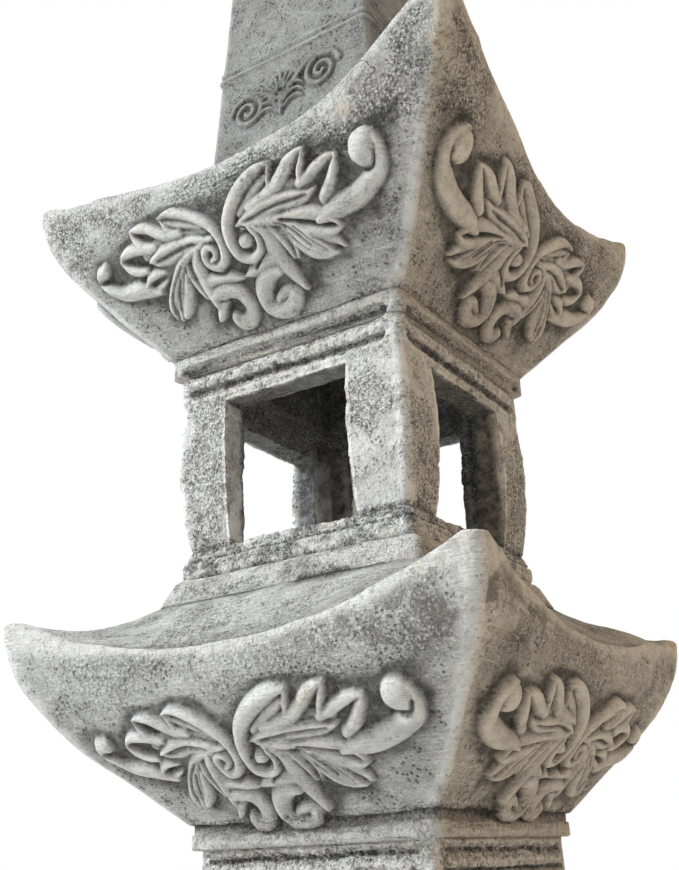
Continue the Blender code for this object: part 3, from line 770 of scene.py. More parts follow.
def stone_look(name, streaks, seed, side_shade_strength, tone=1.0):
    """Cast stone: grey paste with pale and dark grains, dirt and painted shade in its hollows,
    rubbed pale with painted highlight on its edges, and painted warm shade on its +X faces.
    """
    look = Look(name)
    step, times, blend = look.step, look.times, look.blend
    shift = look.node("ShaderNodeMapping", {
        "Vector": look.place, "Location": (seed, 2.3 * seed, 0.7 * seed),
    })
    look.place = shift.outputs["Vector"]
    grime_and_shade, worn_and_highlit, pitted, mottle, raised, warm_side_shade = (
        look.attribute(field) for field in ("grime_and_shade", "worn_and_highlit", "pitted", "mottle", "raised", "warm_side_shade")
    )
    broad = look.noise(6.0, 3.0)
    patch = look.noise(17.0, 5.0, 0.65, twist=0.6)
    blotch = look.noise(48.0, 5.0, 0.65, twist=0.4)
    cloud = look.noise(120.0, 4.0, 0.62)
    grain = look.noise(430.0, 3.0, 0.70, twist=0.4)
    sand = look.noise(980.0, 3.0, 0.75)
    brush = look.noise(11.0, 4.0, 0.65, stretch=(5.0, 5.0, 60.0), twist=0.8)
    rough = look.math("MAXIMUM", pitted, times(step(patch, 0.50, 0.62), 0.5))
    rough = times(rough, step(raised, 0.0, 1.0, 1.0, 0.60))

    # the paste, with patches and brushed streaks
    colour = look.coated(
        blend(step(blotch, 0.36, 0.64), GREY_PASTE, DULL_PASTE),
        (step(patch, 0.47, 0.66, 0.0, 0.60), DEEP_PASTE),
        (step(broad, 0.50, 0.74, 0.0, 0.35), TAN_PASTE),
        (step(patch, 0.46, 0.30, 0.0, 0.65), PALE_PASTE),
        (step(cloud, 0.53, 0.70, 0.0, 0.45), PALE_CLOUD),
        (times(step(brush, 0.45, 0.66), 0.55 * streaks), DEEP_PASTE),
        (times(step(brush, 0.44, 0.30), 0.65 * streaks), PALE_STREAK),
    )

    # grains and pits, then rubbed wear with painted highlight, dirt with painted shade, and painted warm
    # shade on one side
    shade = step(grain, 0.36, 0.64, 0.66, 1.22)
    shaded = look.node("ShaderNodeCombineColor", {0: shade, 1: shade, 2: shade}).outputs[0]
    speck = times(step(look.cells(230.0), 0.34, 0.24), step(blotch, 0.50, 0.58))
    speck = times(speck, step(raised, 0.0, 1.0, 1.0, 0.45))
    bites = look.noise(185.0, 4.0, 0.70, twist=0.8)
    bite = times(step(bites, 0.435, 0.390), step(rough, 0.25, 0.75))
    colour = look.coated(
        colour,
        (step(rough, 0.0, 1.0, 0.35, 1.0), look.tinted(colour, shaded)),
        (times(times(step(blotch, 0.56, 0.47), mottle), 0.85), BLOOM),
        (times(raised, step(cloud, 0.35, 0.60, 0.25, 0.75)), CARVED),
        (times(step(grain, 0.45, 0.38), step(rough, 0.0, 1.0, 0.12, 1.0)), DARK_GRAIN),
        (times(step(grain, 0.55, 0.62), step(rough, 0.0, 1.0, 0.15, 0.90)), SALT),
        (times(step(sand, 0.43, 0.36), step(rough, 0.0, 1.0, 0.40, 0.80)), PEPPER),
        (times(bite, 0.75), PIT),
        (times(speck, 0.8), SPECK),
        # rubbed wear on edges, with painted highlight there
        (times(worn_and_highlit, step(cloud, 0.30, 0.58, 0.40, 0.90)), RUBBED_AND_HIGHLIT),
        (times(step(worn_and_highlit, 0.5, 1.0), step(patch, 0.52, 0.66, 0.0, 0.60)), WARM_RUBBED_AND_HIGHLIT),
        # dirt and painted shade in hollows and creases, soot and painted shade inside
        (times(grime_and_shade, step(cloud, 0.30, 0.68, 0.97, 0.66)), DIRT_AND_SHADE),
    )
    # painted warm shade: the +X faces made darker and warmer
    warm_side_shade = times(warm_side_shade, step(cloud, 0.2, 0.7, side_shade_strength, 0.85 * side_shade_strength))
    colour = blend(warm_side_shade, colour, look.tinted(colour, WARM_SHADE_TINT))
    colour = look.tinted(colour, (tone, tone, 0.99 * tone))

    # a few hair cracks
    drift = look.node("ShaderNodeTexNoise", {"Vector": look.place, "Scale": 22.0, "Detail": 4.0})
    wander = look.node("ShaderNodeMix", {"Factor": 0.09, 4: look.place, 5: drift.outputs["Color"]},
                       data_type="VECTOR")
    cracks = look.cells(7.5, "DISTANCE_TO_EDGE", wander.outputs[1])
    line = times(step(cracks, 0.007, 0.0), step(broad, 0.60, 0.66))
    line = times(line, step(cloud, 0.38, 0.5))
    colour = blend(times(line, 0.6), colour, CRACK)

    hole = times(step(look.cells(250.0), 0.34, 0.10), step(grain, 0.60, 0.42))
    relief = look.added(hole, -1.4, times(grain, 2.2))
    relief = times(relief, step(rough, 0.0, 1.0, 0.24, 1.15))
    brushed = step(brush, 0.35, 0.65)
    heights = ((speck, -1.0), (bite, -1.1), (brushed, -0.35 * streaks), (sand, 0.55), (line, -1.5))
    for field, height in heights:
        relief = look.added(field, height, relief)
    roughness = times(step(cloud, 0.3, 0.7, 0.84, 0.97), step(raised, 0.0, 1.0, 1.0, 0.56))
    return look.finish(colour, roughness, look.bump(relief, 0.0014))


def metal_look(name, colour, dark, roughness, scale, stretch):
    """Drawn or pressed metal with fine scratches and dull stained patches."""
    look = Look(name)
    lines = look.noise(scale, 4.0, 0.6, stretch=stretch)
    darkening = look.noise(160.0, 3.0)
    tone = look.blend(look.step(lines, 0.35, 0.70), colour, dark)
    tone = look.blend(look.step(darkening, 0.55, 0.75, 0.0, 0.5), tone, dark)
    look.shader.inputs["Metallic"].default_value = 1.0
    rough = look.step(lines, 0.3, 0.7, roughness, roughness + 0.18)
    return look.finish(tone, rough, look.bump(lines, 0.0002, 0.5))


def wax_look():
    look = Look("wax_poured")
    pool = look.noise(140.0, 3.0)
    tone = look.blend(look.step(pool, 0.4, 0.7), (0.86, 0.82, 0.70), (0.78, 0.72, 0.58))
    look.shader.inputs["Subsurface Weight"].default_value = 0.15
    look.shader.inputs["Subsurface Radius"].default_value = (0.004, 0.003, 0.002)
    return look.finish(tone, look.step(pool, 0.3, 0.7, 0.35, 0.5), look.bump(pool, 0.0006))


def wick_look():
    look = Look("wick_braided")
    braid = look.noise(900.0, 2.0, stretch=(1.0, 1.0, 2.5))
    tone = look.blend(look.step(braid, 0.4, 0.6), (0.74, 0.71, 0.63), (0.45, 0.42, 0.36))
    return look.finish(tone, 0.95, look.bump(braid, 0.0003))


# ---------------------------------------------------------------- roofs
def hull(t):
    """The curve under the eave: half width and height at t from 0 at the neck to 1 at the lip."""
    u = 1 - t
    weights = (u ** 3, 3 * u * u * t, 3 * u * t * t, t ** 3)
    points = (
        (NECK_HALF, 0.003), (NECK_HALF + 0.050, 0.060), (ROOF_HALF, 0.115), (ROOF_HALF + 0.002, TIP_RISE),
    )
    return tuple(sum(w * p[axis] for w, p in zip(weights, points)) for axis in (0, 1))


def roof_rings(band_low, band_high):
    """A roof's skin from its underside, over the neck band, the eave and the hips, to its seat."""
    fine = 1.25 * MM if FINE else 3.0 * MM
    neck_r, tip_r = 0.008, 0.013
    rings = Rings(int(ROOF_COURSE / fine), neck_r)
    seat = -NECK_DEPTH - SEAM
    edge = NECK_HALF + 0.0012
    rings.level(seat, 0.060, 0.080, 0.095, 0.105, 0.115)
    grooved = band_low > seat + 0.002
    rings.add(edge - 0.0016, seat, inset=GROOVE if grooved else 0.0, reach=0.98)
    if grooved:
        for z in np.linspace(seat + 0.0005, band_low - 0.0022, 4):
            rings.add(edge, z, inset=GROOVE, reach=0.98)
        for share in (0.9, 0.65, 0.35, 0.1):
            rings.add(edge, band_low - 0.0022 + 0.0030 * (1 - share), inset=GROOVE * share,
                      reach=0.91 + 0.07 * share)
    bead_low = max(band_low, seat) + 0.0010
    for t in np.linspace(0, 1, 14):
        bead = math.sin(math.pi * min(1.0, 0.15 + 0.85 * t)) ** 0.6 if t < 1 else 0.0
        rings.add(edge, bead_low + (band_high - bead_low) * t, inset=-0.0034 * bead, reach=0.985)
    for z in np.linspace(band_high + 0.0010, 0.0052, 3):
        rings.add(NECK_HALF - 0.0004, z)

    samples = np.linspace(0, 1, 400)
    half, z = hull(samples)
    middle = np.stack([half - EAVE_BOW * samples ** 2, z - EAVE_DIP * samples ** 1.5], 1)
    length = np.concatenate([[0], np.cumsum(np.linalg.norm(np.diff(middle, axis=0), axis=1))])
    carved = np.interp(0.118, middle[:, 1], length)
    start = np.interp(0.0060, middle[:, 1], length)
    end = length[-1] - 0.001
    marks = np.concatenate([np.arange(start, carved, fine), np.arange(carved, end, 1.8 * fine)])
    for t in np.interp(marks, length, samples):
        half, z = hull(t)
        rings.add(half, z, neck_r + (tip_r - neck_r) * t, EAVE_BOW * t * t, EAVE_DIP * t ** 1.5)
    lip = ROOF_HALF + 0.002
    for angle in np.radians((0, 25, 50, 75, 90)):
        rings.add(lip - 0.004 + 0.004 * math.cos(angle), TIP_RISE + 0.001 + 0.004 * math.sin(angle), tip_r,
                  EAVE_BOW, EAVE_DIP)
    outer = lip - 0.009
    sag = 0.012
    for u in np.linspace(0, 1, 34 if FINE else 16):
        half = outer + (SEAT_FOOT_HALF - outer) * u
        z = TIP_RISE + 0.005 + (SEAT_FOOT_RISE - TIP_RISE - 0.005) * u - sag * 4 * u * (1 - u)
        radius = tip_r + (neck_r - tip_r) * u
        rings.add(half, z, radius, EAVE_BOW * (1 - u), (EAVE_DIP - sag * 4 * u) * (1 - u))
    for z in np.linspace(SEAT_FOOT_RISE + 0.0006, ROOF_HEIGHT - 0.0045, 12):
        batter = 0.0110 * (z - SEAT_FOOT_RISE) / (ROOF_HEIGHT - SEAT_FOOT_RISE)
        rings.add(SEAT_FOOT_HALF + 0.0010 - batter, z)
    for angle in np.radians((25, 60, 90)):
        half = SEAT_HALF - 0.003 + 0.003 * math.cos(angle)
        rings.add(half, ROOF_HEIGHT - 0.003 + 0.003 * math.sin(angle))
    rings.level(ROOF_HEIGHT, 0.117, 0.110, 0.095, 0.075, 0.050, 0.025)
    return rings


def bend_tips(p, tips):
    """Raise and draw in each corner of a hand-finished roof. tips maps a corner to (rise, draw) in metres."""
    for (sx, sy), (rise, draw) in tips.items():
        towards = (p[..., 0] * sx + p[..., 1] * sy) / (2 * ROOF_HALF)
        amount = ease(0.72, 1.0, towards)
        p[..., 2] += rise * amount
        p[..., 0] -= sx * draw * amount
        p[..., 1] -= sy * draw * amount
    return p


def skew_near_eave(p, out, rise):
    """Push the near end of the +X eave outwards and up, as a casting sags in its mould."""
    amount = ease(0.085, 0.150, p[..., 2]) * ease(0.10, 0.22, p[..., 0]) * ease(0.060, -0.120, p[..., 1])
    p[..., 0] += out * amount
    p[..., 2] += rise * amount
    return p


def waver(p, seat, seed):
    """Let the courses of a hand-struck moulding rise and fall a little, but not at the joint it sits on."""
    drift = value_noise(p.reshape(-1, 3) + (seed, 0, 0), 0.032, seed + 13).reshape(p.shape[:2])
    p[..., 2] += 1.1 * MM * drift * ease(0.001, 0.006, np.abs(p[..., 2] - seat))
    return p


def draw_in(obj, amount):
    """Narrow a stone at its -X -Y corner, by amount of each height. The -X +Y corner keeps its dowel."""
    co = coordinates(obj.data)
    co[:, 0] += amount(co[:, 2]) * ease(0.0, 1.0, -co[:, 0] / NECK_HALF) * ease(0.070, -0.060, co[:, 1])
    obj.data.vertices.foreach_set("co", co.ravel())
    obj.data.update()


def make_roof(node, look, reliefs, style):
    low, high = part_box(node)
    neck_z = low.z + NECK_DEPTH
    seed = style["seed"]
    p, along, up = roof_rings(*style["band"]).points()
    n = grid_normals(p)
    heights = np.zeros(p.shape[:2])
    carving_dirt_and_shade = np.zeros(p.shape[:2])
    (wide, tall), sink = style["spray"], style["sink"]
    places = p.reshape(-1, 3) + (0, 0, seed)
    wander_x = 1.3 * value_noise(places, 0.030, seed + 1).reshape(heights.shape)
    wander_z = 1.0 * value_noise(places, 0.030, seed + 2).reshape(heights.shape)
    depth = 1.08 + 0.14 * value_noise(places, 0.045, seed + 3).reshape(heights.shape)
    for turn, part in faces(p):
        mirror = 1 if turn % 2 else -1
        x = mirror * along[part] / MM / wide + wander_x[part]
        z = (up[part] / MM + sink) / tall + wander_z[part]
        right, down = style["ball"].get(turn, (0, 0))
        z += down * ease(105, 155, x)
        x -= right * ease(105, 155, x)
        relief = reliefs[turn == 3]
        heights[part] = relief.at(relief.height, x, z)
        carving_dirt_and_shade[part] = relief.at(relief.darkening, x, z)
    raised = ease(1.2, 3.2, heights)
    heights *= depth
    under = ease(0.001, 0.006, up) * (1 - ease(0.118, 0.124, up)) * (n[..., 2] < 0.3)
    p = p + n * (heights * under * MM)[..., None]
    p = skew_near_eave(bend_tips(p, style["tips"]), *style["skew"])
    p = waver(p, -NECK_DEPTH - SEAM, seed)
    p[..., 2] += neck_z
    obj = grid_object(node + "_stone", p)
    # dirt and painted shade round the carving, painted shade in its creases
    set_attribute(obj.data, "darkening", carving_dirt_and_shade * under)
    set_attribute(obj.data, "raised", raised * under)
    halves = (POCKET_HALF, POCKET_HALF)
    hollow(obj, [rough_box("pocket", halves, neck_z - 0.040, neck_z + POCKET_TOP, 0.0012, seed)])
    draw_in(obj, lambda z: style["narrower"] * ease(0.09, 0.0, z - neck_z))
    cutters = []
    for x, y, top, (radius, reach) in style["holes"]:
        z = high.z if top else low.z
        ends = (z - reach, z + 0.01) if top else (z - 0.01, z + reach)
        cutters.append(cylinder("hole", x, y, *ends, radius))
    hollow(obj, cutters)
    thin_out(obj, MOST_TRIANGLES)

    def pitted(co):
        z = co[:, 2] - neck_z
        neck = ease(0.010, 0.005, z)
        reach, side = from_middle(co)
        inside = (reach < 0.1) * (z < POCKET_TOP + 0.01)
        plinth = ease(SEAT_FOOT_RISE - 0.001, SEAT_FOOT_RISE + 0.002, z) * (reach < SEAT_FOOT_HALF + 0.003)
        crusted = style["crusted"]
        band = ease(0.082, 0.100, z) * (reach > 0.15) * (1 - ease(crusted - 0.045, crusted, side))
        band = band * ease(-0.45, 0.15, fractal(co, 0.06, 3, seed + 9))
        return np.clip(0.16 + neck + inside + plinth + style["coarse_band"] * band, 0, 1)

    # soot and painted shade inside the pocket, where no light reaches; a dark crust on the plinth
    def soot_crust_and_shade(co, n):
        reach = from_middle(co)[0]
        z = co[:, 2] - neck_z
        plinth = ease(SEAT_FOOT_RISE - 0.001, SEAT_FOOT_RISE + 0.003, z) * (reach < SEAT_FOOT_HALF)
        crust = 0.34 * plinth * ease(-0.15, 0.45, fractal(co, *CRUST, seed=seed + 6)) * (n[:, 2] < 0.8)
        pocket = (reach < POCKET_HALF + 0.022) * (co[:, 2] < neck_z + POCKET_TOP + 0.02)
        return np.maximum(0.9 * pocket, crust)

    # painted highlight on the neck band's bead, which the light catches: less darkening, more pale wear
    # colour
    def clean_and_lit(co):
        z = co[:, 2] - neck_z
        reach = from_middle(co)[0]
        bead_low, bead_high = style["band"]
        bead = ease(bead_low - 0.001, bead_low + 0.001, z) * ease(bead_high + 0.004, bead_high, z)
        return 0.60 * bead * (reach > 0.12)

    weather(obj, pitted, soot_crust_and_shade, clean_and_lit, rough_mm=0.45, lump_mm=0.9, seed=seed)
    co = coordinates(obj.data)
    near_corner = ease(0.50, 0.80, (co[:, 0] - co[:, 1]) / (2 * ROOF_HALF))
    near_corner = near_corner * ease(0.06, 0.13, co[:, 2] - neck_z)
    set_attribute(obj.data, "mottle", style["mottle"] * near_corner)
    finish_stone(obj, node, node, look)
    return obj


# ---------------------------------------------------------------- block
def make_block(look, relief, seed):
    node = "spire_block"
    low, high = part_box(node)
    height = high.z - low.z
    fine = 1.3 * MM if FINE else 2.6 * MM
    rings = Rings(int(BLOCK_COURSE / fine), radius=0.008)
    fillet, fillets = 0.0024, ((0.1275, 1.0), (0.1370, 0.7))
    band_top = 0.142
    rings.level(0.0, 0.030, 0.060, 0.085, 0.097)
    plain = np.arange(band_top, height - 0.002, 3.2 * MM)
    marks = np.concatenate([[0.0006], np.arange(0.002, band_top, fine), plain])
    for z in marks:
        bead = fillet * sum(share * math.exp(-((z - centre) / 0.0026) ** 2) for centre, share in fillets)
        rings.add(BLOCK_FOOT_HALF - BLOCK_TAPER * z + bead, z)
    top = BLOCK_FOOT_HALF - BLOCK_TAPER * height
    rings.add(top - 0.001, height)
    rings.level(height, top - 0.010, top - 0.035, 0.020)
    p, along, up = rings.points()
    n = grid_normals(p)
    heights = np.zeros(p.shape[:2])
    carving_dirt_and_shade = np.zeros(p.shape[:2])
    for _, part in faces(p):
        heights[part] = relief.at(relief.height, along[part] / MM, up[part] / MM)
        carving_dirt_and_shade[part] = relief.at(relief.darkening, along[part] / MM, up[part] / MM)
    upright = np.abs(n[..., 2]) < 0.4
    p = p + n * (heights * upright * MM)[..., None]
    p[..., 2] += low.z
    obj = grid_object(node + "_stone", p)
    # dirt and painted shade round the carving, painted shade in its creases
    set_attribute(obj.data, "darkening", 0.8 * carving_dirt_and_shade * upright)
    radius, reach = CENTRE_SOCKET
    hole_radius, hole_reach = CENTRE_HOLE
    hollow(obj, [
        cylinder("socket", 0, 0, low.z - 0.01, low.z + reach, radius),
        cylinder("hole", 0, 0, high.z - hole_reach, high.z + 0.01, hole_radius),
    ])
    thin_out(obj, BLOCK_TRIANGLES)
    weather(obj, lambda co: 0.22 + 0 * co[:, 0], rough_mm=0.30, lump_mm=0.8, seed=seed)
    finish_stone(obj, node, "spire", look)
    return obj


# ---------------------------------------------------------------- chambers
def post_half(z):
    """The half width of a chamber over its swelling posts, and of the lintel above them."""
    t = (z - WINDOW_SILL) / (WINDOW_HEAD - WINDOW_SILL)
    return CHAMBER_HALF + CHAMBER_BULGE * math.sin(math.pi * min(1.0, t) * 0.80) ** 0.75


def firebox_rings(height, grooves):
    """Sill mouldings, swelling posts, and the bands and grooves over the windows."""
    fine = 1.7 * MM if FINE else 3.4 * MM
    rings = Rings(int(CHAMBER_COURSE / fine), radius=0.009, corner_count=7)
    foot = 0.1230
    rings.level(-SEAM, 0.040, 0.075, 0.100, 0.112)
    for half, z in ((foot - 0.0035, -SEAM), (foot - 0.001, 0.0008), (foot, 0.003)):
        rings.add(half, z)
    for z in np.arange(0.0045, 0.0135, 1.6 * MM):
        rings.add(foot, z)
    for sunk, z in ((0.0008, 0.0142), (0.0030, 0.0150), (0.0034, 0.0162), (0.0022, 0.0172)):
        rings.add(foot - sunk, z)
    for share in (0.2, 0.4, 0.6, 0.8):
        rings.add(foot - 0.0022 - share * (foot - 0.0025 - CHAMBER_HALF), 0.0172 + share * 0.009)
    for z in np.arange(WINDOW_SILL, grooves[0][0] - 0.0012, 1.8 * MM):
        rings.add(post_half(z), z)
    edge = post_half(WINDOW_HEAD) + 0.0008
    for low, mid, high, depth in grooves:
        rings.add(edge, low - 0.0006)
        for share in (0.12, 0.4, 0.75, 0.95):
            z = low + (mid - low) * share
            rings.add(edge, z, inset=depth * share, reach=0.91 + 0.07 * share)
        for z in np.arange(mid, min(high - 0.0016, height - 0.0006), 1.2 * MM):
            rings.add(edge, z, inset=depth, reach=0.98)
        if high < height:
            for share in (0.8, 0.35, 0.05):
                z = high - 0.0012 * share
                rings.add(edge, z, inset=depth * share, reach=0.91 + 0.07 * share)
            following = [groove[0] for groove in grooves if groove[0] > high]
            ridge = (following[0] if following else height) - 0.0010
            for t in np.linspace(0.0, 1.0, 8):
                z = high + 0.0006 + (ridge - high - 0.0006) * t
                if z < height - 0.0008:
                    rings.add(edge, z, inset=-0.0020 * math.sin(math.pi * t), reach=0.985)
    high, depth = grooves[-1][2:]
    rings.add(edge - 0.0010, height, inset=depth if high > height else 0.0, reach=0.98)
    rings.level(height, 0.110, 0.100, 0.075, 0.040)
    return rings


def make_firebox(node, look, seed, grooves, narrower=0.0):
    low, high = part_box(node)
    height = high.z - low.z
    p = waver(firebox_rings(height, grooves).points()[0], height, seed)
    p[..., 2] += low.z
    obj = grid_object(node + "_stone", p)
    over = 0.03
    cutters = [rough_shaft("inside", WALL_INNER_HALF, 0.020, low.z - over, high.z + over, 0.0013, seed)]
    reach = CHAMBER_HALF + over
    sill, head = low.z + WINDOW_SILL, low.z + WINDOW_HEAD
    cutters.append(rough_box("window", (reach, WINDOW_HALF), sill, head, 0.0011, seed + 1))
    cutters.append(rough_box("window", (WINDOW_HALF, reach), sill, head, 0.0011, seed + 2))
    hollow(obj, cutters)
    draw_in(obj, lambda z: narrower * ease(0.05, 0.20, z - low.z))
    cutters = []
    for x, y in CORNERS:
        radius, deep = CORNER_SOCKET
        cutters.append(cylinder("socket", x, y, low.z - 0.01, low.z + deep, radius))
        radius, deep = CORNER_HOLE
        cutters.append(cylinder("hole", x, y, high.z - deep, high.z + 0.01, radius))
    hollow(obj, cutters)
    thin_out(obj, FIREBOX_TRIANGLES)

    def pitted(co):
        z = co[:, 2] - low.z
        posts = ease(WINDOW_SILL, WINDOW_SILL + 0.006, z) * ease(0.185, 0.165, z)
        patches = ease(-0.22, 0.22, fractal(co, 0.045, 3, seed + 9))
        return 1 - posts * (0.05 + 0.80 * patches)

    # soot and painted shade inside the chamber and under the window heads, painted shade on the far jamb, and
    # a crust at the foot
    def soot_crust_and_shade(co, n):
        reach, side = from_middle(co)
        soffit = ease(-0.3, -0.7, n[:, 2]) * ease(0.1235, 0.118, reach) * (co[:, 2] > low.z + 0.1)
        far = co[:, 1] > 0.02
        jamb = ease(0.121, 0.116, reach) * (side < WINDOW_HALF + 0.004) * far * ease(-0.3, -0.7, n[:, 1])
        # painted light: the inner wall lit through the window gets less of the dark inside
        lit_by_window = ease(0.3, 0.7, n[:, 0]) * ease(WINDOW_HEAD, WINDOW_HEAD - 0.02, co[:, 2] - low.z) * far
        inner = (reach < WALL_INNER_HALF + 0.005) * (0.75 - 0.73 * lit_by_window)
        crust = ease(-0.15, 0.45, fractal(co, *CRUST, seed=seed + 5))
        crust = crust * ease(0.032, 0.025, co[:, 2] - low.z)
        crust = 0.50 * crust * (reach > WALL_INNER_HALF + 0.006)
        return np.maximum(np.maximum(inner, crust), np.maximum(0.92 * soffit, 1.1 * jamb))

    # painted light on the window reveals and the far post's inner face, which the windows let light onto; a
    # little less darkening on the outer posts
    def clean_and_lit(co):
        reach, side = from_middle(co)
        z = co[:, 2] - low.z
        jamb = (side < WINDOW_HALF + 0.003) * (reach > WALL_INNER_HALF + 0.003)
        jamb = jamb * (1 - (co[:, 0] < -WALL_INNER_HALF) * (co[:, 1] > 0.02))
        jamb = jamb * (z > WINDOW_SILL + 0.004) * (z < WINDOW_HEAD - 0.003)
        post = 0.22 * (side > WINDOW_HALF + 0.006) * (reach > WALL_INNER_HALF + 0.010) * ease(0.03, 0.05, z)
        far_post = (co[:, 0] < -0.09) * (co[:, 1] > 0.06) * (z < WINDOW_HEAD)
        far_post = 0.30 * (reach < WALL_INNER_HALF + 0.005) * far_post
        return np.maximum(np.maximum(jamb, post), far_post)

    weather(obj, pitted, soot_crust_and_shade, clean_and_lit, rough_mm=0.62, lump_mm=0.8, seed=seed)
    finish_stone(obj, node, node, look)
    return obj


# ---------------------------------------------------------------- plain stones, from their CAD solids
def make_plain(node, body, look, voxel, coarse, rounds, seed, lump_mm=0.6):
    """A stone remeshed from its CAD solid, with its arrises rubbed round."""
    bm = bmesh.new()
    bm.from_mesh(nodes[node].data)
    bmesh.ops.remove_doubles(bm, verts=bm.verts, dist=1e-6)
    obj = in_scene(node + "_stone", mesh_from(bm, node + "_stone"))
    remesh = obj.modifiers.new("remesh", "REMESH")
    remesh.mode = "VOXEL"
    remesh.voxel_size = voxel if FINE else 1.8 * voxel
    smooth = obj.modifiers.new("smooth", "SMOOTH")
    smooth.factor = 0.5
    smooth.iterations = rounds
    apply_modifiers(obj)
    thin_out(obj, MOST_TRIANGLES)
    weather(obj, lambda co: coarse + 0 * co[:, 0], rough_mm=0.45, lump_mm=lump_mm, seed=seed)
    finish_stone(obj, node, body, look)
    return obj


# ---------------------------------------------------------------- build
def build():
    roof_stone = stone_look("cast_stone_brushed", 0.95, 0.0, side_shade_strength=1.0)
    box_stone = stone_look("cast_stone_coarse", 0.15, 1.7, side_shade_strength=0.80, tone=1.08)
    block_stone = stone_look("cast_stone_drawn", 0.60, 3.1, side_shade_strength=0.30, tone=0.53)

    sprays = (roof_relief(ball=10.5), roof_relief(ball=12.6))    # the second one is for the -Y face
    sockets = [(x, y, False, CORNER_SOCKET) for x, y in CORNERS]
    lean = 0.024          # the lower neck was cast this much narrower at its -X -Y corner
    make_roof("lower_roof", roof_stone, sprays, {
        "spray": (0.94, 0.95), "sink": 8, "band": (-0.0200, -0.0025), "narrower": lean, "mottle": 1.0,
        "coarse_band": 0.30, "crusted": 0.195, "seed": 3, "ball": {3: (1, -2)}, "skew": (0.0, 0.0),
        "tips": {(1, 1): (-0.018, 0.009), (-1, 1): (0.003, 0.002)},
        "holes": sockets + [(x, y, True, CORNER_HOLE) for x, y in CORNERS],
    })
    make_roof("upper_roof", roof_stone, sprays, {
        "spray": (1.0, 1.0), "sink": 0, "band": (-0.0082, 0.0040), "narrower": 0.0, "mottle": 0.25,
        "coarse_band": 0.85, "crusted": 0.250, "seed": 17, "ball": {0: (6, -1), 3: (-5, 0)},
        "skew": (0.015, 0.012),
        "tips": {(1, -1): (0.026, 0.0), (-1, -1): (-0.014, 0.008), (-1, 1): (0.0, 0.002)},
        "holes": sockets + [(0, 0, True, CENTRE_HOLE)],
    })
    make_block(block_stone, block_relief(), 29)

    # a groove is given by the heights of its sloping foot, its deepest part and its sharp top, and its depth
    upper_grooves = ((0.1740, 0.1800, 0.1855, 0.0052), (0.1968, 0.1990, 0.2200, 0.0050))
    lower_grooves = ((0.1720, 0.1765, 0.1795, 0.0050), (0.1885, 0.1905, 0.1942, 0.0034))
    make_firebox("upper_firebox", box_stone, 41, upper_grooves)
    make_firebox("lower_firebox", box_stone, 53, lower_grooves, lean)
    make_plain("pedestal", "pedestal", box_stone, 2.6 * MM, 0.8, 4, 61)
    make_plain("base_slab", "base", box_stone, 3.2 * MM, 0.9, 4, 67)
    make_plain("spire_cap", "cap", block_stone, 1.8 * MM, 0.5, 3, 71)
    make_plain("finial", "finial", block_stone, 0.9 * MM, 0.5, 3, 79, 0.3)

    steel = metal_look("dowel_drawn_steel", colour=(0.45, 0.43, 0.41), dark=(0.24, 0.19, 0.15),
                       roughness=0.38, scale=120.0, stretch=(1.0, 1.0, 0.05))
    cup = metal_look("cup_pressed_aluminium", colour=(0.80, 0.80, 0.81), dark=(0.55, 0.55, 0.56),
                     roughness=0.28, scale=500.0, stretch=(1.0, 1.0, 0.2))
    wax = wax_look()
    wick = wick_look()
    for name, node in nodes.items():
        for part, look in (("dowel", steel), ("cup", cup), ("_wax", wax), ("wick", wick)):
            if part in name:
                node.data.materials.clear()
                node.data.materials.append(look)


# ---------------------------------------------------------------- studio
FLOOR_HALF = 6.0
FLOOR_Z = -0.0015        # just under the foot slab, whose worn underside dips a little
LIGHT_AIM = (0.0, 0.0, 1.0)
SKY_STRENGTH = 0.60
COOL_SKY = (0.97, 0.985, 1.0)
WARM_SKY = (0.80, 0.66, 0.52)
CAMERA_PLACE = (0.5355, -0.8903, 0.5789)
CAMERA_YAW = 31.93       # degrees, towards -X from +Y
CAMERA_PITCH = 21.17     # upwards
CAMERA_ROLL = -2.68
CAMERA_LENS = 46.13      # mm on a 36 mm sensor


def add_light(name, place, size, power, colour):
    data = bpy.data.lights.new(name, "AREA")
    data.energy = power
    data.size = size
    data.color = colour
    obj = in_scene(name, data)
    obj.location = place
    obj.rotation_euler = (Vector(LIGHT_AIM) - Vector(place)).to_track_quat("-Z", "Y").to_euler()


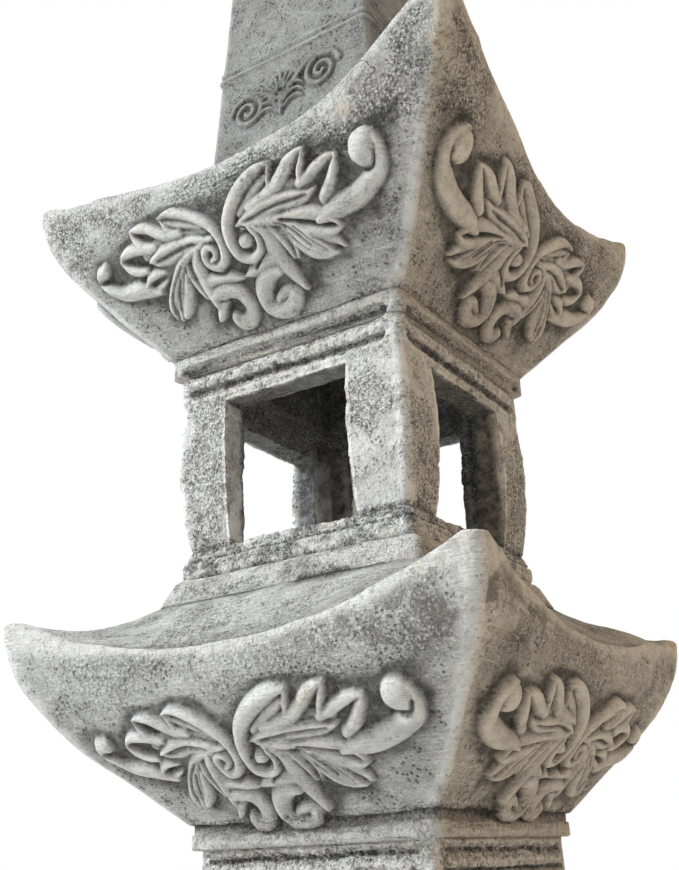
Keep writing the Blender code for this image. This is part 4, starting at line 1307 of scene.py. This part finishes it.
def studio():
    """A sky that is cool to the left and warm to the right, two soft lights and a pale floor."""
    scene = bpy.context.scene
    scene.view_settings.view_transform = "Standard"
    scene.world = bpy.data.worlds.new("studio")
    sky = Nodes(scene.world)
    split = sky.node("ShaderNodeSeparateXYZ", {
        "Vector": sky.node("ShaderNodeTexCoord", {}).outputs["Generated"],
    })
    warmth = sky.node("ShaderNodeMapRange", {
        "Value": split.outputs["X"], "From Min": 0.0, "From Max": 0.9,
    }, interpolation_type="SMOOTHSTEP")
    tint = sky.node("ShaderNodeMix", {
        "Factor": warmth.outputs["Result"], 6: COOL_SKY, 7: WARM_SKY,
    }, data_type="RGBA")
    back = sky.tree.nodes["Background"]
    sky.put(back.inputs["Color"], tint.outputs[2])
    sky.put(back.inputs["Strength"], SKY_STRENGTH)
    clear = sky.node("ShaderNodeBackground", {"Color": (1.0, 1.0, 1.0)})
    seen = sky.node("ShaderNodeMixShader", {
        0: sky.node("ShaderNodeLightPath", {}).outputs["Is Camera Ray"],
        1: back.outputs[0],
        2: clear.outputs[0],
    })
    sky.put(sky.tree.nodes["World Output"].inputs["Surface"], seen.outputs[0])

    add_light("key", place=(-2.4, -2.6, 3.2), size=1.1, power=206.0, colour=(0.945, 0.982, 1.0))
    add_light("rim", place=(2.6, 1.6, 2.6), size=1.6, power=22.0, colour=(1.0, 0.92, 0.82))

    bm = bmesh.new()
    bmesh.ops.create_grid(bm, x_segments=1, y_segments=1, size=FLOOR_HALF)
    floor = in_scene("floor", mesh_from(bm, "floor"))
    floor.location.z = FLOOR_Z
    paint = Look("floor_pale")
    mottle = paint.noise(3.0)
    tone = paint.blend(paint.step(mottle, 0.3, 0.7), (0.80, 0.80, 0.79), (0.76, 0.76, 0.75))
    floor.data.materials.append(paint.finish(tone, 0.7, paint.bump(mottle, 0.0005)))


def camera():
    """The camera stands low by the near corner and looks up at the two roofs."""
    yaw, pitch, roll = (math.radians(angle) for angle in (CAMERA_YAW, CAMERA_PITCH, CAMERA_ROLL))
    ahead = Vector((-math.sin(yaw) * math.cos(pitch), math.cos(yaw) * math.cos(pitch), math.sin(pitch)))
    right = Vector((math.cos(yaw), math.sin(yaw), 0.0))
    up = right.cross(ahead)
    across = math.cos(roll) * right + math.sin(roll) * up
    upward = -math.sin(roll) * right + math.cos(roll) * up
    turn = Matrix((across, upward, -ahead)).transposed().to_4x4()
    data = bpy.data.cameras.new("camera")
    data.sensor_width = 36.0
    data.lens = CAMERA_LENS
    data.clip_start = 0.01
    obj = in_scene("camera", data)
    obj.matrix_world = Matrix.Translation(CAMERA_PLACE) @ turn
    bpy.context.scene.camera = obj


build()
studio()
camera()
bpy.context.view_layer.update()
